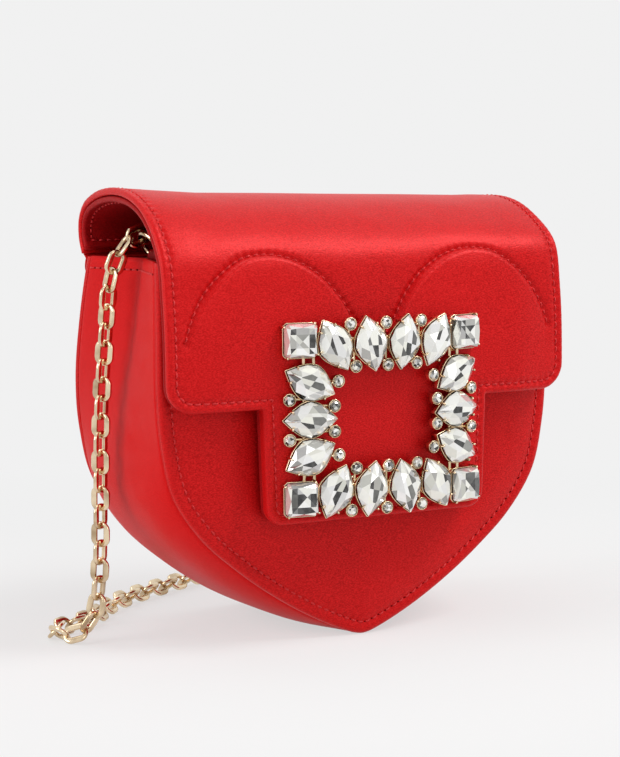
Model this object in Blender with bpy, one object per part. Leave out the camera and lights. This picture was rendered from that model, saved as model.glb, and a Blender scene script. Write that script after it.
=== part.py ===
# Evening clutch in padded satin: heart-outlined body, arched magnetic flap,
# bowed jewelled buckle and a flat-link chain that lies partly on the floor.
# Metres, +Z up, front towards -Y, the body's tip on the floor.
import math

import bmesh
import bpy
import numpy as np
from mathutils import Matrix, Vector
from mathutils.geometry import delaunay_2d_cdt

for old in list(bpy.data.objects):
    bpy.data.objects.remove(old, do_unlink=True)

# Clearances and cloth thicknesses
GAP = 0.0003
MERGE_DISTANCE = 0.000001
PANEL_THICKNESS = 0.0030
GUSSET_THICKNESS = 0.0020
LINING_THICKNESS = 0.0008
FLAP_SKIN = 0.0027
FLAP_LINING = 0.0020
WELT_DIAMETER = 0.0030

# Body
BODY_HALF_WIDTH = 0.0785
MOUTH_HEIGHT = 0.1340
BODY_HALF_DEPTH = 0.0290
PANEL_CROWN = 0.0010
BACK_CROWN = 0.0012
# The back leaves the mouth's depth below the hinge and stands this much further back lower down
BACK_FULLNESS = 0.0140
BACK_FLAT_SHARE = 0.560
CROWN_REACH = 0.0220
PANEL_GRID = (0.0120, 0.0105)
PANEL_GRID_CLEAR = 0.0040
LINING_DROP = 0.0010
LINING_GRID = (0.0240, 0.0200)
LINING_GRID_CLEAR = 0.0080
# Half outline from the tip up: shares of the half width and of the mouth's height
OUTLINE_SHARES = ((0.0, 0.0), (0.046, 0.0051), (0.2366, 0.054), (0.4417, 0.1236), (0.6259, 0.2015),
                  (0.7949, 0.2896), (0.9261, 0.4), (0.981, 0.53), (1.0, 0.6612), (1.0, 0.83), (1.0, 1.0))
OUTLINE_STEPS = 21
# Gusset: how far it swells out (+) or folds in (-), by share of the way from tip to mouth
GUSSET_SWELL_SHARES = ((0.0, 0.0), (0.12, 0.62), (0.28, 0.95), (0.45, 1.0), (0.58, 0.45),
                       (0.70, -0.30), (0.85, -1.05), (1.0, -1.35))
GUSSET_SWELL = 0.0060
GUSSET_FOLD_POWER = 1.15
GUSSET_ROWS = 6

# Flap: outer profile from the hinge over the arch and down the front, y as a share of the hinge's
# depth behind the middle or of the front face's depth before it, z as a share of the mouth's height
FLAP_SPACE = 0.00299
HINGE_STAND = 0.0018
FLAP_PROFILE_SHARES = ((1.0, 1.0), (1.079, 1.041), (1.079, 1.086), (0.954, 1.128), (0.672, 1.158),
                       (0.313, 1.172), (-0.053, 1.170), (-0.342, 1.151), (-0.579, 1.116),
                       (-0.776, 1.063), (-0.908, 1.0), (-0.961, 0.910), (-0.992, 0.815),
                       (-1.0, 0.634), (-1.0, 0.478), (-1.0, 0.325))
FLAP_OVERHANG = 0.0010
FLAP_HALF_WIDTH = BODY_HALF_WIDTH + FLAP_OVERHANG
ARCH_FOOT_SHARE = 0.815
PROFILE_STEPS = 14
FLAP_ROW_COUNT = 19
FLAP_ROW_POINTS = 5
FLAP_STEP_HEIGHT_SHARE = 0.624
FLAP_STEP_RADIUS = 0.0095
TONGUE_HALF_WIDTH = 0.0448
TONGUE_CORNER_RADIUS = 0.0065
TONGUE_TAPER = 0.0012
TONGUE_ROWS = (0.33, 0.66, 1.0)
FLAP_PAD = 0.0014
FLAP_PAD_ROLL = 0.0028
FLAP_LINING_INSET = 0.0004
FLAP_GRID = (0.0160, 0.0120)
FLAP_GRID_CLEAR = 0.0022
FLAP_GRID_ROW_SHARE = 0.4
FLAP_LINING_GRID = (0.0260, 0.0160)
LOBE_CLEAR = 0.0030
LOBE_INNER_CLEAR = 0.0024
# Heart lobes: (x share of the flap's half width, height share of the mouth's height)
LOBE_SHARES = ((0.0, 0.735), (0.045, 0.790), (0.107, 0.843), (0.161, 0.896), (0.245, 0.951),
               (0.352, 0.991), (0.428, 1.007), (0.516, 1.014), (0.616, 1.007), (0.692, 0.985),
               (0.811, 0.925), (0.880, 0.858), (0.925, 0.780))

# Closure
MAGNET_RADIUS = 0.0080
BODY_MAGNET_THICKNESS = 0.0009
MAGNET_HEIGHT_SHARE = 0.440
MAGNET_SIDES = 24

# Buckle: stones first, then the pitches and corners that follow from them
BUCKLE_CENTRE_SHARE = 0.5950
BUCKLE_BOW_RADIUS = 0.170
BUCKLE_PLATE = 0.0015
CORNER_STONE = 0.0115
CORNER_CUT_SHARE = 0.10
LEMON_HALF_LENGTH = 0.0091
LEMON_HALF_WIDTH = 0.0056
LEMON_END_POWER = 1.75
LEMON_SIDE_POWER = 1.08
LEMON_POINTS = 12
ROW_CLEAR = 0.0021
COLUMN_CLEAR = 0.0015
ROW_PITCH = 2.0 * LEMON_HALF_WIDTH + ROW_CLEAR
COLUMN_PITCH = 2.0 * LEMON_HALF_WIDTH + COLUMN_CLEAR
ROW_END_SHARE = 0.75
COLUMN_END_SHARE = 0.940
CORNER_U = 1.5 * ROW_PITCH + CORNER_STONE * 0.5 + LEMON_HALF_LENGTH * ROW_END_SHARE
CORNER_V = COLUMN_PITCH + CORNER_STONE * 0.5 + LEMON_HALF_LENGTH * COLUMN_END_SHARE
ROW_DROP = 0.0020
COLUMN_DRAW = 0.0035
ROW_V = CORNER_V - ROW_DROP
COLUMN_U = CORNER_U - COLUMN_DRAW
STONE_HEIGHT = 0.0040
STONE_TABLE_SHARE = 0.52
STONE_GIRDLE_SHARE = 0.35
STONE_BASE_SHARE = 0.94
SETTING_RIM = 0.0008
ROUND_RADIUS = 0.0020
ROUND_HEIGHT = 0.0022
ROUND_TABLE_SHARE = 0.55
BAR_WIDTH = 0.0026
STEM_WIDTH = 0.0013
BAR_SHARE = 0.75
PRONG_FOOT_SHARE = 0.3
PRONG_WIDTH = 0.0009
PRONG_HEIGHT = 0.0016
SOLDER_MERGE = 0.000004
FLAT_ANGLE = 1.0
ROW_TILTS_TOP = (28.0, 11.0, -10.0, -24.0)
ROW_TILTS_BOTTOM = (-23.0, -10.5, 12.0, 26.0)
COLUMN_TILTS_LEFT = (-26.0, 0.0, 26.0)
COLUMN_TILTS_RIGHT = (29.0, 4.0, -26.0)
# Round stones: along the rows in pitches, away from them in pointed stones' half lengths
OUTER_ROUND_SHARES = (-1.073, -0.051, 1.022)
OUTER_ROUND_OUT_SHARE = 0.766
INNER_ROUND_SHARES = (-0.927, 0.0, 0.876)
INNER_ROUND_IN_SHARE = 0.830
INNER_SIDE_SHARES = (1.0, 0.3435, -0.3435, -0.985)
INNER_SIDE_IN_SHARE = 0.957
INNER_SIDE_SHIFT = 0.0015
OUTER_SIDE_SHARES = (0.550, -0.527)
OUTER_SIDE_OUT_SHARE = 0.798

# Chain and its fixings
LINK_LENGTH = 0.0091
LINK_WIDTH = 0.0067
LINK_WIRE = 0.0015
LINK_CUT_SHARE = 0.62
LINK_BITE = 0.00012
LINK_FREE = 0.00065
LINK_PITCH = LINK_LENGTH - 2.0 * LINK_WIRE + LINK_BITE
LINK_GAP_PITCH = LINK_LENGTH - 2.0 * LINK_WIRE - LINK_FREE
LINK_TILT = 45.0
LINK_TWIST = 12.0
LINK_STRETCH = 0.011
PITCH_TRIALS = 61
WALK_WINDOW = 400
END_LINKS = 6
FLOOR_SPARE = 0.0003
FLOOR_LIFT = (LINK_WIDTH + LINK_WIRE) * 0.5 * math.sin(math.radians(LINK_TILT)) + FLOOR_SPARE
ROUTE_STEPS = 120
RING_HALF_WIDTH = 0.0062
RING_HEIGHT = 0.0095
RING_WIRE = 0.0017
RING_LEAN = 35.0
RING_BAR_SHARE = 0.92
RING_SHOULDER_SHARE = 0.38
RING_RISE = 0.0006
TAB_WIDTH = 0.0080
TAB_CLOTH = 0.0011
TAB_LENGTH = 0.0130

# Chain route in shares of the flap's half width, the half depth and the mouth's height above the
# lowest a link can lie: from the left ring down to the floor, a small heap, a run behind the bag,
# a hank of parallel passes, then up to the right ring
HANG_LEFT_SHARES = ((-0.9560, 0.000, 1.0459), (-1.0000, 0.034, 0.9962), (-1.0252, 0.103, 0.9312),
                    (-1.0340, 0.138, 0.8547), (-1.0440, 0.166, 0.7630), (-1.0541, 0.190, 0.6636),
                    (-1.0629, 0.200, 0.5489), (-1.0667, 0.207, 0.4343), (-1.0692, 0.214, 0.3196),
                    (-1.0717, 0.224, 0.2202), (-1.0780, 0.241, 0.1361), (-1.0893, 0.262, 0.0749))
HEAP_SHARES = ((-1.1119, 0.283, 0.0352), (-1.1509, 0.310, 0.0092), (-1.1950, 0.372, 0.0000),
               (-1.2277, 0.524, 0.0000), (-1.2113, 0.710, 0.0000), (-1.1509, 0.862, 0.0000),
               (-1.0591, 0.993, 0.0000))
RUN_SHARES = ((-0.9686, 1.155, 0.0000), (-0.8868, 1.397, 0.0000), (-0.8050, 1.672, 0.0000),
              (-0.6893, 1.966, 0.0000), (-0.5484, 2.234, 0.0000), (-0.4151, 2.452, 0.0000),
              (-0.2918, 2.641, 0.0000), (-0.1635, 2.834, 0.0000), (-0.0503, 3.028, 0.0000),
              (0.0440, 3.207, 0.0000))
RISE_RIGHT_SHARES = ((0.7233, 2.041, 0.0000), (0.8113, 1.931, 0.0099), (0.8805, 1.810, 0.0749),
                     (0.9459, 1.690, 0.2049), (1.0000, 1.579, 0.3731), (1.0440, 1.469, 0.5566),
                     (1.0755, 1.345, 0.7248), (1.0918, 1.172, 0.8624), (1.0881, 0.931, 0.9618),
                     (1.0503, 0.621, 1.0214), (0.9937, 0.276, 1.0474), (0.9560, 0.034, 1.0489))
HANK_PASSES = 5
HANK_SPARE = 0.0034
HANK_ENDS_SHARES = (0.1384, 0.6289)
HANK_BACK_SHARE = 3.3276

SATIN_RED = (0.62, 0.012, 0.016, 1.0)
LINING_RED = (0.10, 0.006, 0.008, 1.0)
PALE_GOLD = (0.83, 0.66, 0.42, 1.0)
STEEL = (0.60, 0.58, 0.55, 1.0)
CRYSTAL = (0.90, 0.92, 0.94, 1.0)


def material(name, colour, roughness, metallic):
    mat = bpy.data.materials.new(name)
    mat.use_nodes = True
    shader = mat.node_tree.nodes["Principled BSDF"]
    shader.inputs["Base Color"].default_value = colour
    shader.inputs["Roughness"].default_value = roughness
    shader.inputs["Metallic"].default_value = metallic
    mat.diffuse_color = colour
    return mat


def finish(name, bm, look):
    """Make a closed form into a named piece with its own finish."""
    bmesh.ops.remove_doubles(bm, verts=bm.verts, dist=MERGE_DISTANCE)
    bmesh.ops.recalc_face_normals(bm, faces=bm.faces)
    mesh = bpy.data.meshes.new(name)
    bm.to_mesh(mesh)
    bm.free()
    obj = bpy.data.objects.new(name, mesh)
    bpy.context.scene.collection.objects.link(obj)
    obj.data.materials.append(material(name, *look))
    return obj


def apply_modifiers(obj):
    """Settle a piece's cuts and joins into its own form."""
    graph = bpy.context.evaluated_depsgraph_get()
    baked = bpy.data.meshes.new_from_object(obj.evaluated_get(graph))
    old = obj.data
    obj.modifiers.clear()
    obj.data = baked
    bpy.data.meshes.remove(old)


def spline(points, per=10):
    """Smooth curve through hand-set points."""
    pts = np.array(points, float)
    pts = np.vstack([2 * pts[0] - pts[1], pts, 2 * pts[-1] - pts[-2]])
    out = []
    for i in range(1, len(pts) - 2):
        p0, p1, p2, p3 = pts[i - 1:i + 3]
        t0 = 0.0
        t1 = t0 + max(np.linalg.norm(p1 - p0), 1e-9) ** 0.5
        t2 = t1 + max(np.linalg.norm(p2 - p1), 1e-9) ** 0.5
        t3 = t2 + max(np.linalg.norm(p3 - p2), 1e-9) ** 0.5
        for t in np.linspace(t1, t2, per, endpoint=False):
            a1 = (t1 - t) / (t1 - t0) * p0 + (t - t0) / (t1 - t0) * p1
            a2 = (t2 - t) / (t2 - t1) * p1 + (t - t1) / (t2 - t1) * p2
            a3 = (t3 - t) / (t3 - t2) * p2 + (t - t2) / (t3 - t2) * p3
            b1 = (t2 - t) / (t2 - t0) * a1 + (t - t0) / (t2 - t0) * a2
            b2 = (t3 - t) / (t3 - t1) * a2 + (t - t1) / (t3 - t1) * a3
            out.append((t2 - t) / (t2 - t1) * b1 + (t - t1) / (t2 - t1) * b2)
    out.append(pts[-2])
    return np.array(out)


def lengths(points):
    return np.concatenate([[0.0], np.cumsum(np.linalg.norm(np.diff(points, axis=0), axis=1))])


def resample(points, count):
    run = lengths(points)
    at = np.linspace(0.0, run[-1], count)
    return np.stack([np.interp(at, run, points[:, k]) for k in range(points.shape[1])], axis=1)


def edge_distance(point, line):
    """Least distance from a 2D point to a polyline."""
    a = line[:-1]
    d = line[1:] - a
    t = np.clip(((point - a) * d).sum(1) / np.maximum((d * d).sum(1), 1e-15), 0.0, 1.0)
    return float(np.min(np.linalg.norm(a + d * t[:, None] - point, axis=1)))


def smooth(t):
    t = min(max(t, 0.0), 1.0)
    return t * t * (3.0 - 2.0 * t)


def shell(name, outer, inner, faces, look):
    """Close an open sheet: outer skin, inner skin and the edge that joins them."""
    bm = bmesh.new()
    top = [bm.verts.new(p) for p in outer]
    low = [bm.verts.new(p) for p in inner]
    counts = {}
    for face in faces:
        bm.faces.new([top[i] for i in face])
        bm.faces.new([low[i] for i in reversed(face)])
        for i, j in zip(face, face[1:] + face[:1]):
            counts[(i, j)] = True
    for i, j in list(counts):
        if (j, i) not in counts:
            bm.faces.new([top[j], top[i], low[i], low[j]])
    return finish(name, bm, look)


def fill(boundary, inside, extra=()):
    """Triangulate a 2D outline with interior points and optional crease lines."""
    verts = [Vector(p) for p in boundary]
    count = len(verts)
    edges = [(i, (i + 1) % count) for i in range(count)]
    for line in extra:
        start = len(verts)
        verts.extend(Vector(p) for p in line)
        edges.extend((start + i, start + i + 1) for i in range(len(line) - 1))
    verts.extend(Vector(p) for p in inside)
    out, _, tris, _, _, _ = delaunay_2d_cdt(verts, edges, [], 1, 1e-7)
    return np.array([(v.x, v.y) for v in out]), [list(t) for t in tris]


# Half outline of the body and its outward normals
half_outline = resample(spline([(x * BODY_HALF_WIDTH, z * MOUTH_HEIGHT) for x, z in OUTLINE_SHARES]),
                        OUTLINE_STEPS + 1)


def normals_of(line):
    run = np.gradient(line, axis=0)
    run /= np.linalg.norm(run, axis=1)[:, None]
    return np.stack([run[:, 1], -run[:, 0]], axis=1)


half_normals = normals_of(half_outline)
half_normals[0] = (0.0, -1.0)
half_normals[-1] = (1.0, 0.0)
SHARE_AT = np.linspace(0.0, 1.0, OUTLINE_STEPS + 1)


def back_reach(z):
    """How far the back stands out beyond the depth of the mouth, at a height."""
    share = max((z / MOUTH_HEIGHT - BACK_FLAT_SHARE) / (1.0 - BACK_FLAT_SHARE), 0.0)
    return BACK_FULLNESS * (1.0 - min(share, 1.0) ** 2)


def outline(inset, top):
    """Whole U outline, left mouth to right mouth, drawn in by inset and cut at height top."""
    half = half_outline - half_normals * inset
    half[:, 0] = np.maximum(half[:, 0], 0.0)
    half[0, 0] = 0.0
    half[-1, 1] = top
    half[:, 1] = np.minimum(half[:, 1], top)
    left = half[:0:-1] * np.array([-1.0, 1.0])
    return np.vstack([left, half])


def grid_inside(boundary, steps, clear):
    """Interior points of a closed outline on a staggered grid."""
    step_x, step_z = steps
    closed = np.vstack([boundary, boundary[:1]])
    low = boundary.min(0)
    high = boundary.max(0)
    found = []
    row = 0
    z = low[1] + step_z * 0.5
    while z < high[1]:
        x = -math.ceil(high[0] / step_x) * step_x + (step_x * 0.5 if row % 2 else 0.0)
        while x < high[0]:
            crossings = 0
            for (ax, az), (bx, bz) in zip(closed[:-1], closed[1:]):
                if (az > z) != (bz > z):
                    if x < ax + (z - az) / (bz - az) * (bx - ax):
                        crossings += 1
            if crossings % 2 and edge_distance(np.array([x, z]), closed) > clear:
                found.append((x, z))
            x += step_x
        z += step_z
        row += 1
    return found


SATIN = (SATIN_RED, 0.42, 0.0)
LINING = (LINING_RED, 0.75, 0.0)
GOLD = (PALE_GOLD, 0.22, 1.0)
MAGNET = (STEEL, 0.30, 1.0)
GLASS = (CRYSTAL, 0.04, 0.0)


# Front and back panels: padded slabs with a soft crown
def panel(name, side, crown):
    inset = WELT_DIAMETER + GAP
    top = MOUTH_HEIGHT - GAP
    edge = outline(inset, top)
    points, tris = fill(edge, grid_inside(edge, PANEL_GRID, PANEL_GRID_CLEAR))
    rim = np.vstack([edge, edge[:1]])
    outer = []
    inner = []
    for x, z in points:
        swell = crown * smooth(edge_distance(np.array([x, z]), rim) / CROWN_REACH)
        reach = back_reach(z) if side > 0.0 else 0.0
        outer.append((x, side * (BODY_HALF_DEPTH + swell) + reach, z))
        inner.append((x, side * (BODY_HALF_DEPTH - PANEL_THICKNESS) + reach, z))
    return shell(name, outer, inner, tris, SATIN)


front_panel = panel("front_panel", -1.0, PANEL_CROWN)
back_panel = panel("back_panel", 1.0, BACK_CROWN)


# Welts: the turned seam that runs round each panel's edge
def welt(name, side):
    line = outline(WELT_DIAMETER * 0.5, MOUTH_HEIGHT - GAP)
    data = bpy.data.curves.new(name + "_path", "CURVE")
    data.dimensions = "3D"
    data.bevel_depth = WELT_DIAMETER * 0.5
    data.bevel_resolution = 1
    data.use_fill_caps = True
    path = data.splines.new("POLY")
    path.points.add(len(line) - 1)
    y = side * (BODY_HALF_DEPTH - WELT_DIAMETER * 0.5)
    for point, (x, z) in zip(path.points, line):
        reach = back_reach(z) if side > 0.0 else 0.0
        point.co = (x, y + reach, z, 1.0)
    curve = bpy.data.objects.new(name + "_curve", data)
    bpy.context.scene.collection.objects.link(curve)
    graph = bpy.context.evaluated_depsgraph_get()
    mesh = bpy.data.meshes.new_from_object(curve.evaluated_get(graph))
    bm = bmesh.new()
    bm.from_mesh(mesh)
    bpy.data.objects.remove(curve, do_unlink=True)
    bpy.data.meshes.remove(mesh)
    return finish(name, bm, SATIN)


welt("front_seam_welt", -1.0)
welt("back_seam_welt", 1.0)

# Gusset: one strip round the U, swollen low down and folded inwards at the mouth
swell_curve = np.array(GUSSET_SWELL_SHARES)
GUSSET_HALF = BODY_HALF_DEPTH - PANEL_THICKNESS - GAP


def gusset_offset(share, across):
    """Outward offset of the gusset's outer face at a share of the way up and across."""
    amount = np.interp(share, swell_curve[:, 0], swell_curve[:, 1]) * GUSSET_SWELL
    if amount >= 0.0:
        return amount * (1.0 - across * across)
    return amount * (1.0 - abs(across)) ** GUSSET_FOLD_POWER


def strip(inset, half, top, rows):
    """Rows of points across the U strip, drawn in by inset, half its width each side."""
    shares = np.concatenate([SHARE_AT[:0:-1], SHARE_AT])
    signs = np.concatenate([-np.ones(OUTLINE_STEPS), np.ones(OUTLINE_STEPS + 1)])
    base = np.vstack([half_outline[:0:-1], half_outline])
    norm = np.vstack([half_normals[:0:-1], half_normals])
    grid = []
    for k, (share, sign, p, n) in enumerate(zip(shares, signs, base, norm)):
        line = []
        for r in range(rows + 1):
            across = -1.0 + 2.0 * r / rows
            off = gusset_offset(share, across) - inset
            x = sign * (p[0] + n[0] * off)
            z = p[1] + n[1] * off
            if share == 0.0:
                x = 0.0
            if share == 1.0:
                z = top
            z = min(z, top)
            y = across * half + back_reach(z) * (1.0 + across) * 0.5
            line.append((x, y, z))
        grid.append(line)
    return grid


def strip_faces(columns, rows):
    faces = []
    for c in range(columns - 1):
        for r in range(rows):
            a = c * (rows + 1) + r
            b = (c + 1) * (rows + 1) + r
            faces.append([a, a + 1, b + 1])
            faces.append([a, b + 1, b])
    return faces


columns = 2 * OUTLINE_STEPS + 1
outer_strip = [p for line in strip(0.0, GUSSET_HALF, MOUTH_HEIGHT, GUSSET_ROWS) for p in line]
inner_strip = [p for line in strip(GUSSET_THICKNESS, GUSSET_HALF, MOUTH_HEIGHT, GUSSET_ROWS) for p in line]
shell("gusset", outer_strip, inner_strip, strip_faces(columns, GUSSET_ROWS), SATIN)


# Lining: a thin open bag that follows the gusset and both panels inside
def bag_skin(inset, half, top):
    rows = GUSSET_ROWS
    grid = strip(inset, half, top, rows)
    points = [p for line in grid for p in line]
    faces = strip_faces(columns, rows)
    for side, r in ((-1.0, 0), (1.0, rows)):
        edge = np.array([(line[r][0], line[r][2]) for line in grid])
        inside = bag_points
        flat, tris = fill(edge, inside)
        index = []
        for x, z in flat:
            near = np.linalg.norm(edge - (x, z), axis=1)
            if near.min() < 1e-6:
                index.append(int(near.argmin()) * (rows + 1) + r)
            else:
                index.append(len(points))
                reach = back_reach(z) if side > 0.0 else 0.0
                points.append((x, side * half + reach, z))
        for t in tris:
            face = [index[i] for i in t]
            faces.append(face if side < 0.0 else face[::-1])
    return points, faces


LINING_OUT = GUSSET_THICKNESS + GAP
LINING_TOP = MOUTH_HEIGHT - LINING_DROP
lining_half = GUSSET_HALF
seat_edge = outline(LINING_OUT + LINING_THICKNESS, LINING_TOP)
bag_points = grid_inside(seat_edge, LINING_GRID, LINING_GRID_CLEAR)
bag_outer, bag_faces = bag_skin(LINING_OUT, lining_half, LINING_TOP)
bag_inner, _ = bag_skin(LINING_OUT + LINING_THICKNESS, lining_half - LINING_THICKNESS, LINING_TOP)
shell("lining", bag_outer, bag_inner, bag_faces, LINING)

# Flap: arch profile swept across, then a stepped front that narrows to a tongue
FLAP_THICKNESS = FLAP_SKIN + GAP + FLAP_LINING
FLAP_FACE = BODY_HALF_DEPTH + PANEL_CROWN + FLAP_SPACE + FLAP_THICKNESS
HINGE_DEPTH = BODY_HALF_DEPTH + BACK_CROWN + HINGE_STAND
profile = spline([(y * (HINGE_DEPTH if y > 0.0 else FLAP_FACE), z * MOUTH_HEIGHT)
                  for y, z in FLAP_PROFILE_SHARES], per=PROFILE_STEPS)
profile_run = lengths(profile)
profile_normal = normals_of(profile)
FLAP_LENGTH = float(profile_run[-1])
step_index = int(np.argmin(np.abs(profile[:, 1] - FLAP_STEP_HEIGHT_SHARE * MOUTH_HEIGHT)
                           + (profile[:, 0] > 0.0)))
STEP_RUN = float(profile_run[step_index])


def on_profile(run, depth):
    """Point on the flap's outer profile at a run length, moved inwards by depth."""
    y = np.interp(run, profile_run, profile[:, 0])
    z = np.interp(run, profile_run, profile[:, 1])
    ny = np.interp(run, profile_run, profile_normal[:, 0])
    nz = np.interp(run, profile_run, profile_normal[:, 1])
    size = math.hypot(ny, nz)
    return y - ny / size * depth, z - nz / size * depth


def run_at_height(z):
    front = profile[:, 0] < 0.0
    heights = profile[front, 1][::-1]
    return float(np.interp(z, heights, profile_run[front][::-1]))


# Rows across the arch, shared by both layers so that they nest
FLAP_ROWS = np.linspace(0.0, run_at_height(ARCH_FOOT_SHARE * MOUTH_HEIGHT), FLAP_ROW_COUNT)


def arc(centre, radius, start, stop, count):
    turn = np.radians(np.linspace(start, stop, count))
    return [(centre[0] + radius * math.cos(a), centre[1] + radius * math.sin(a)) for a in turn]


def flap_edge(inset):
    """Flap outline in (x, run) with run growing from the hinge to the tongue's end."""
    wide = FLAP_HALF_WIDTH - inset
    step = STEP_RUN - inset
    end = FLAP_LENGTH - inset
    tongue = TONGUE_HALF_WIDTH - inset
    low = tongue - TONGUE_TAPER
    side = [(wide, s) for s in FLAP_ROWS]
    side += [(wide, s) for s in np.linspace(FLAP_ROWS[-1], step - FLAP_STEP_RADIUS, 4)[1:]]
    corner = wide - FLAP_STEP_RADIUS
    side += arc((corner, step - FLAP_STEP_RADIUS), FLAP_STEP_RADIUS, 0.0, 90.0, 6)[1:]
    side += [(corner - (corner - tongue) * k, step) for k in (0.5, 1.0)]
    foot = end - TONGUE_CORNER_RADIUS
    side += [(tongue + (low - tongue) * k, step + (foot - step) * k) for k in TONGUE_ROWS]
    side += arc((low - TONGUE_CORNER_RADIUS, foot), TONGUE_CORNER_RADIUS, 0.0, 90.0, 5)[1:]
    left = [(-x, s) for x, s in reversed(side)]
    bottom = [(x, end) for x in np.linspace(side[-1][0], -side[-1][0], 7)[1:-1]]
    hinge = [(x, 0.0) for x in np.linspace(-wide, wide, FLAP_ROW_POINTS)[1:-1]]
    return np.array(side + bottom + left + hinge)


lobe_half = spline([(x * FLAP_HALF_WIDTH, run_at_height(z * MOUTH_HEIGHT)) for x, z in LOBE_SHARES], per=2)
lobe_groove = np.vstack([lobe_half[:0:-1] * np.array([-1.0, 1.0]), lobe_half])
lobe_inner_half = lobe_half.copy()
lobe_run = np.gradient(lobe_half, axis=0)
lobe_run /= np.linalg.norm(lobe_run, axis=1)[:, None]
lobe_inner_half += np.stack([-lobe_run[:, 1], lobe_run[:, 0]], axis=1) * FLAP_PAD_ROLL
lobe_inner_half = lobe_inner_half[lobe_inner_half[:, 0] > FLAP_PAD_ROLL * 0.5]
lobe_inner = np.vstack([lobe_inner_half[::-1] * np.array([-1.0, 1.0]), lobe_inner_half])


def pad_height(x, run):
    """Raised heart pad on the flap: flat outside the lobes, full a roll's width inside."""
    limit = np.interp(abs(x), lobe_half[:, 0], lobe_half[:, 1])
    if run <= limit:
        return 0.0
    near = edge_distance(np.array([x, run]), lobe_groove)
    rim = FLAP_HALF_WIDTH - abs(x)
    return FLAP_PAD * smooth(near / FLAP_PAD_ROLL) * smooth(rim / (2.0 * FLAP_PAD_ROLL))


def flap_layer(name, inset, outer_depth, inner_depth, padded, steps, look):
    edge = flap_edge(inset)
    wide = FLAP_HALF_WIDTH - inset
    extra = [[(x, run) for x in np.linspace(-wide, wide, FLAP_ROW_POINTS)] for run in FLAP_ROWS[1:]]
    first = FLAP_ROWS[-1] + FLAP_GRID_ROW_SHARE * steps[1]
    inside = [p for p in grid_inside(edge, steps, FLAP_GRID_CLEAR) if p[1] > first]
    if padded:
        inside = [p for p in inside if edge_distance(np.array(p), lobe_groove) > LOBE_CLEAR
                  and edge_distance(np.array(p), lobe_inner) > LOBE_INNER_CLEAR]
        extra += [lobe_groove.tolist(), lobe_inner.tolist()]
    points, tris = fill(edge, inside, extra)
    outer = []
    inner = []
    for x, run in points:
        rise = pad_height(x, run) if padded else 0.0
        y0, z0 = on_profile(run, outer_depth - rise)
        y1, z1 = on_profile(run, inner_depth)
        outer.append((x, y0, z0))
        inner.append((x, y1, z1))
    return shell(name, outer, inner, tris, look)


flap_layer("flap_shell", 0.0, 0.0, FLAP_SKIN, True, FLAP_GRID, SATIN)
flap_layer("flap_lining", FLAP_LINING_INSET, FLAP_SKIN + GAP, FLAP_THICKNESS, False, FLAP_LINING_GRID,
           SATIN)


# Magnets: one disc on the panel, one inside the tongue
def disc(name, front, back, look):
    bm = bmesh.new()
    bmesh.ops.create_cone(bm, cap_ends=True, segments=MAGNET_SIDES, radius1=MAGNET_RADIUS,
                          radius2=MAGNET_RADIUS, depth=back - front)
    turn = Matrix.Rotation(math.radians(90.0), 4, "X")
    shift = Matrix.Translation((0.0, (front + back) * 0.5, MAGNET_HEIGHT_SHARE * MOUTH_HEIGHT))
    bmesh.ops.transform(bm, matrix=shift @ turn, verts=bm.verts)
    return finish(name, bm, look)


panel_face = -(BODY_HALF_DEPTH + PANEL_CROWN)
body_magnet_front = panel_face - GAP - BODY_MAGNET_THICKNESS
flap_inside = -FLAP_FACE + FLAP_THICKNESS
disc("body_magnet", body_magnet_front, panel_face - GAP, MAGNET)
disc("flap_magnet", flap_inside + GAP, body_magnet_front - GAP, MAGNET)


# Buckle: a bowed lattice of settings that carries corner, lemon and round stones
BUCKLE_Z = BUCKLE_CENTRE_SHARE * MOUTH_HEIGHT
BUCKLE_BACK = -(FLAP_FACE + FLAP_PAD + GAP)
BOW_DROP = BUCKLE_BOW_RADIUS - math.sqrt(BUCKLE_BOW_RADIUS ** 2 - (CORNER_U + CORNER_STONE * 0.5) ** 2)


def bowed(u, v, height):
    """Place a point of the flat buckle on its bow: u across, v up, height outwards."""
    angle = u / BUCKLE_BOW_RADIUS
    reach = BUCKLE_BOW_RADIUS + height
    y = BUCKLE_BACK - BOW_DROP + BUCKLE_BOW_RADIUS - reach * math.cos(angle)
    return Vector((reach * math.sin(angle), y, BUCKLE_Z + v))


def lemon(half_length, half_width, count=LEMON_POINTS):
    """Pointed oval outline with slightly drawn-out ends, long axis along v."""
    side = []
    for k in range(count // 2 + 1):
        v = math.cos(math.pi * k / (count // 2))
        w = (1.0 - abs(v) ** LEMON_END_POWER) ** LEMON_SIDE_POWER
        side.append((half_width * w, half_length * v))
    return side + [(-u, v) for u, v in side[-2:0:-1]]


def cut_square(size):
    h = size * 0.5
    c = h - size * CORNER_CUT_SHARE
    return [(h, c), (c, h), (-c, h), (-h, c), (-h, -c), (-c, -h), (c, -h), (h, -c)]


def ngon(radius, count):
    return [(radius * math.cos(2 * math.pi * (k + 0.5) / count),
             radius * math.sin(2 * math.pi * (k + 0.5) / count)) for k in range(count)]


def place(points, centre, tilt):
    c = math.cos(math.radians(tilt))
    s = math.sin(math.radians(tilt))
    return [(centre[0] + u * c - v * s, centre[1] + u * s + v * c) for u, v in points]


def prism(bm, points, low, high, grow=1.0, centre=None):
    """Extrude a flat outline from low to high; the top may be drawn in about its centre."""
    if centre is None:
        centre = tuple(np.mean(np.array(points), axis=0))
    base = [bm.verts.new((u, v, low)) for u, v in points]
    cap = [bm.verts.new((centre[0] + (u - centre[0]) * grow, centre[1] + (v - centre[1]) * grow, high))
           for u, v in points]
    bm.faces.new(cap)
    bm.faces.new(base[::-1])
    for i in range(len(points)):
        j = (i + 1) % len(points)
        bm.faces.new([base[i], base[j], cap[j], cap[i]])


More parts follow.
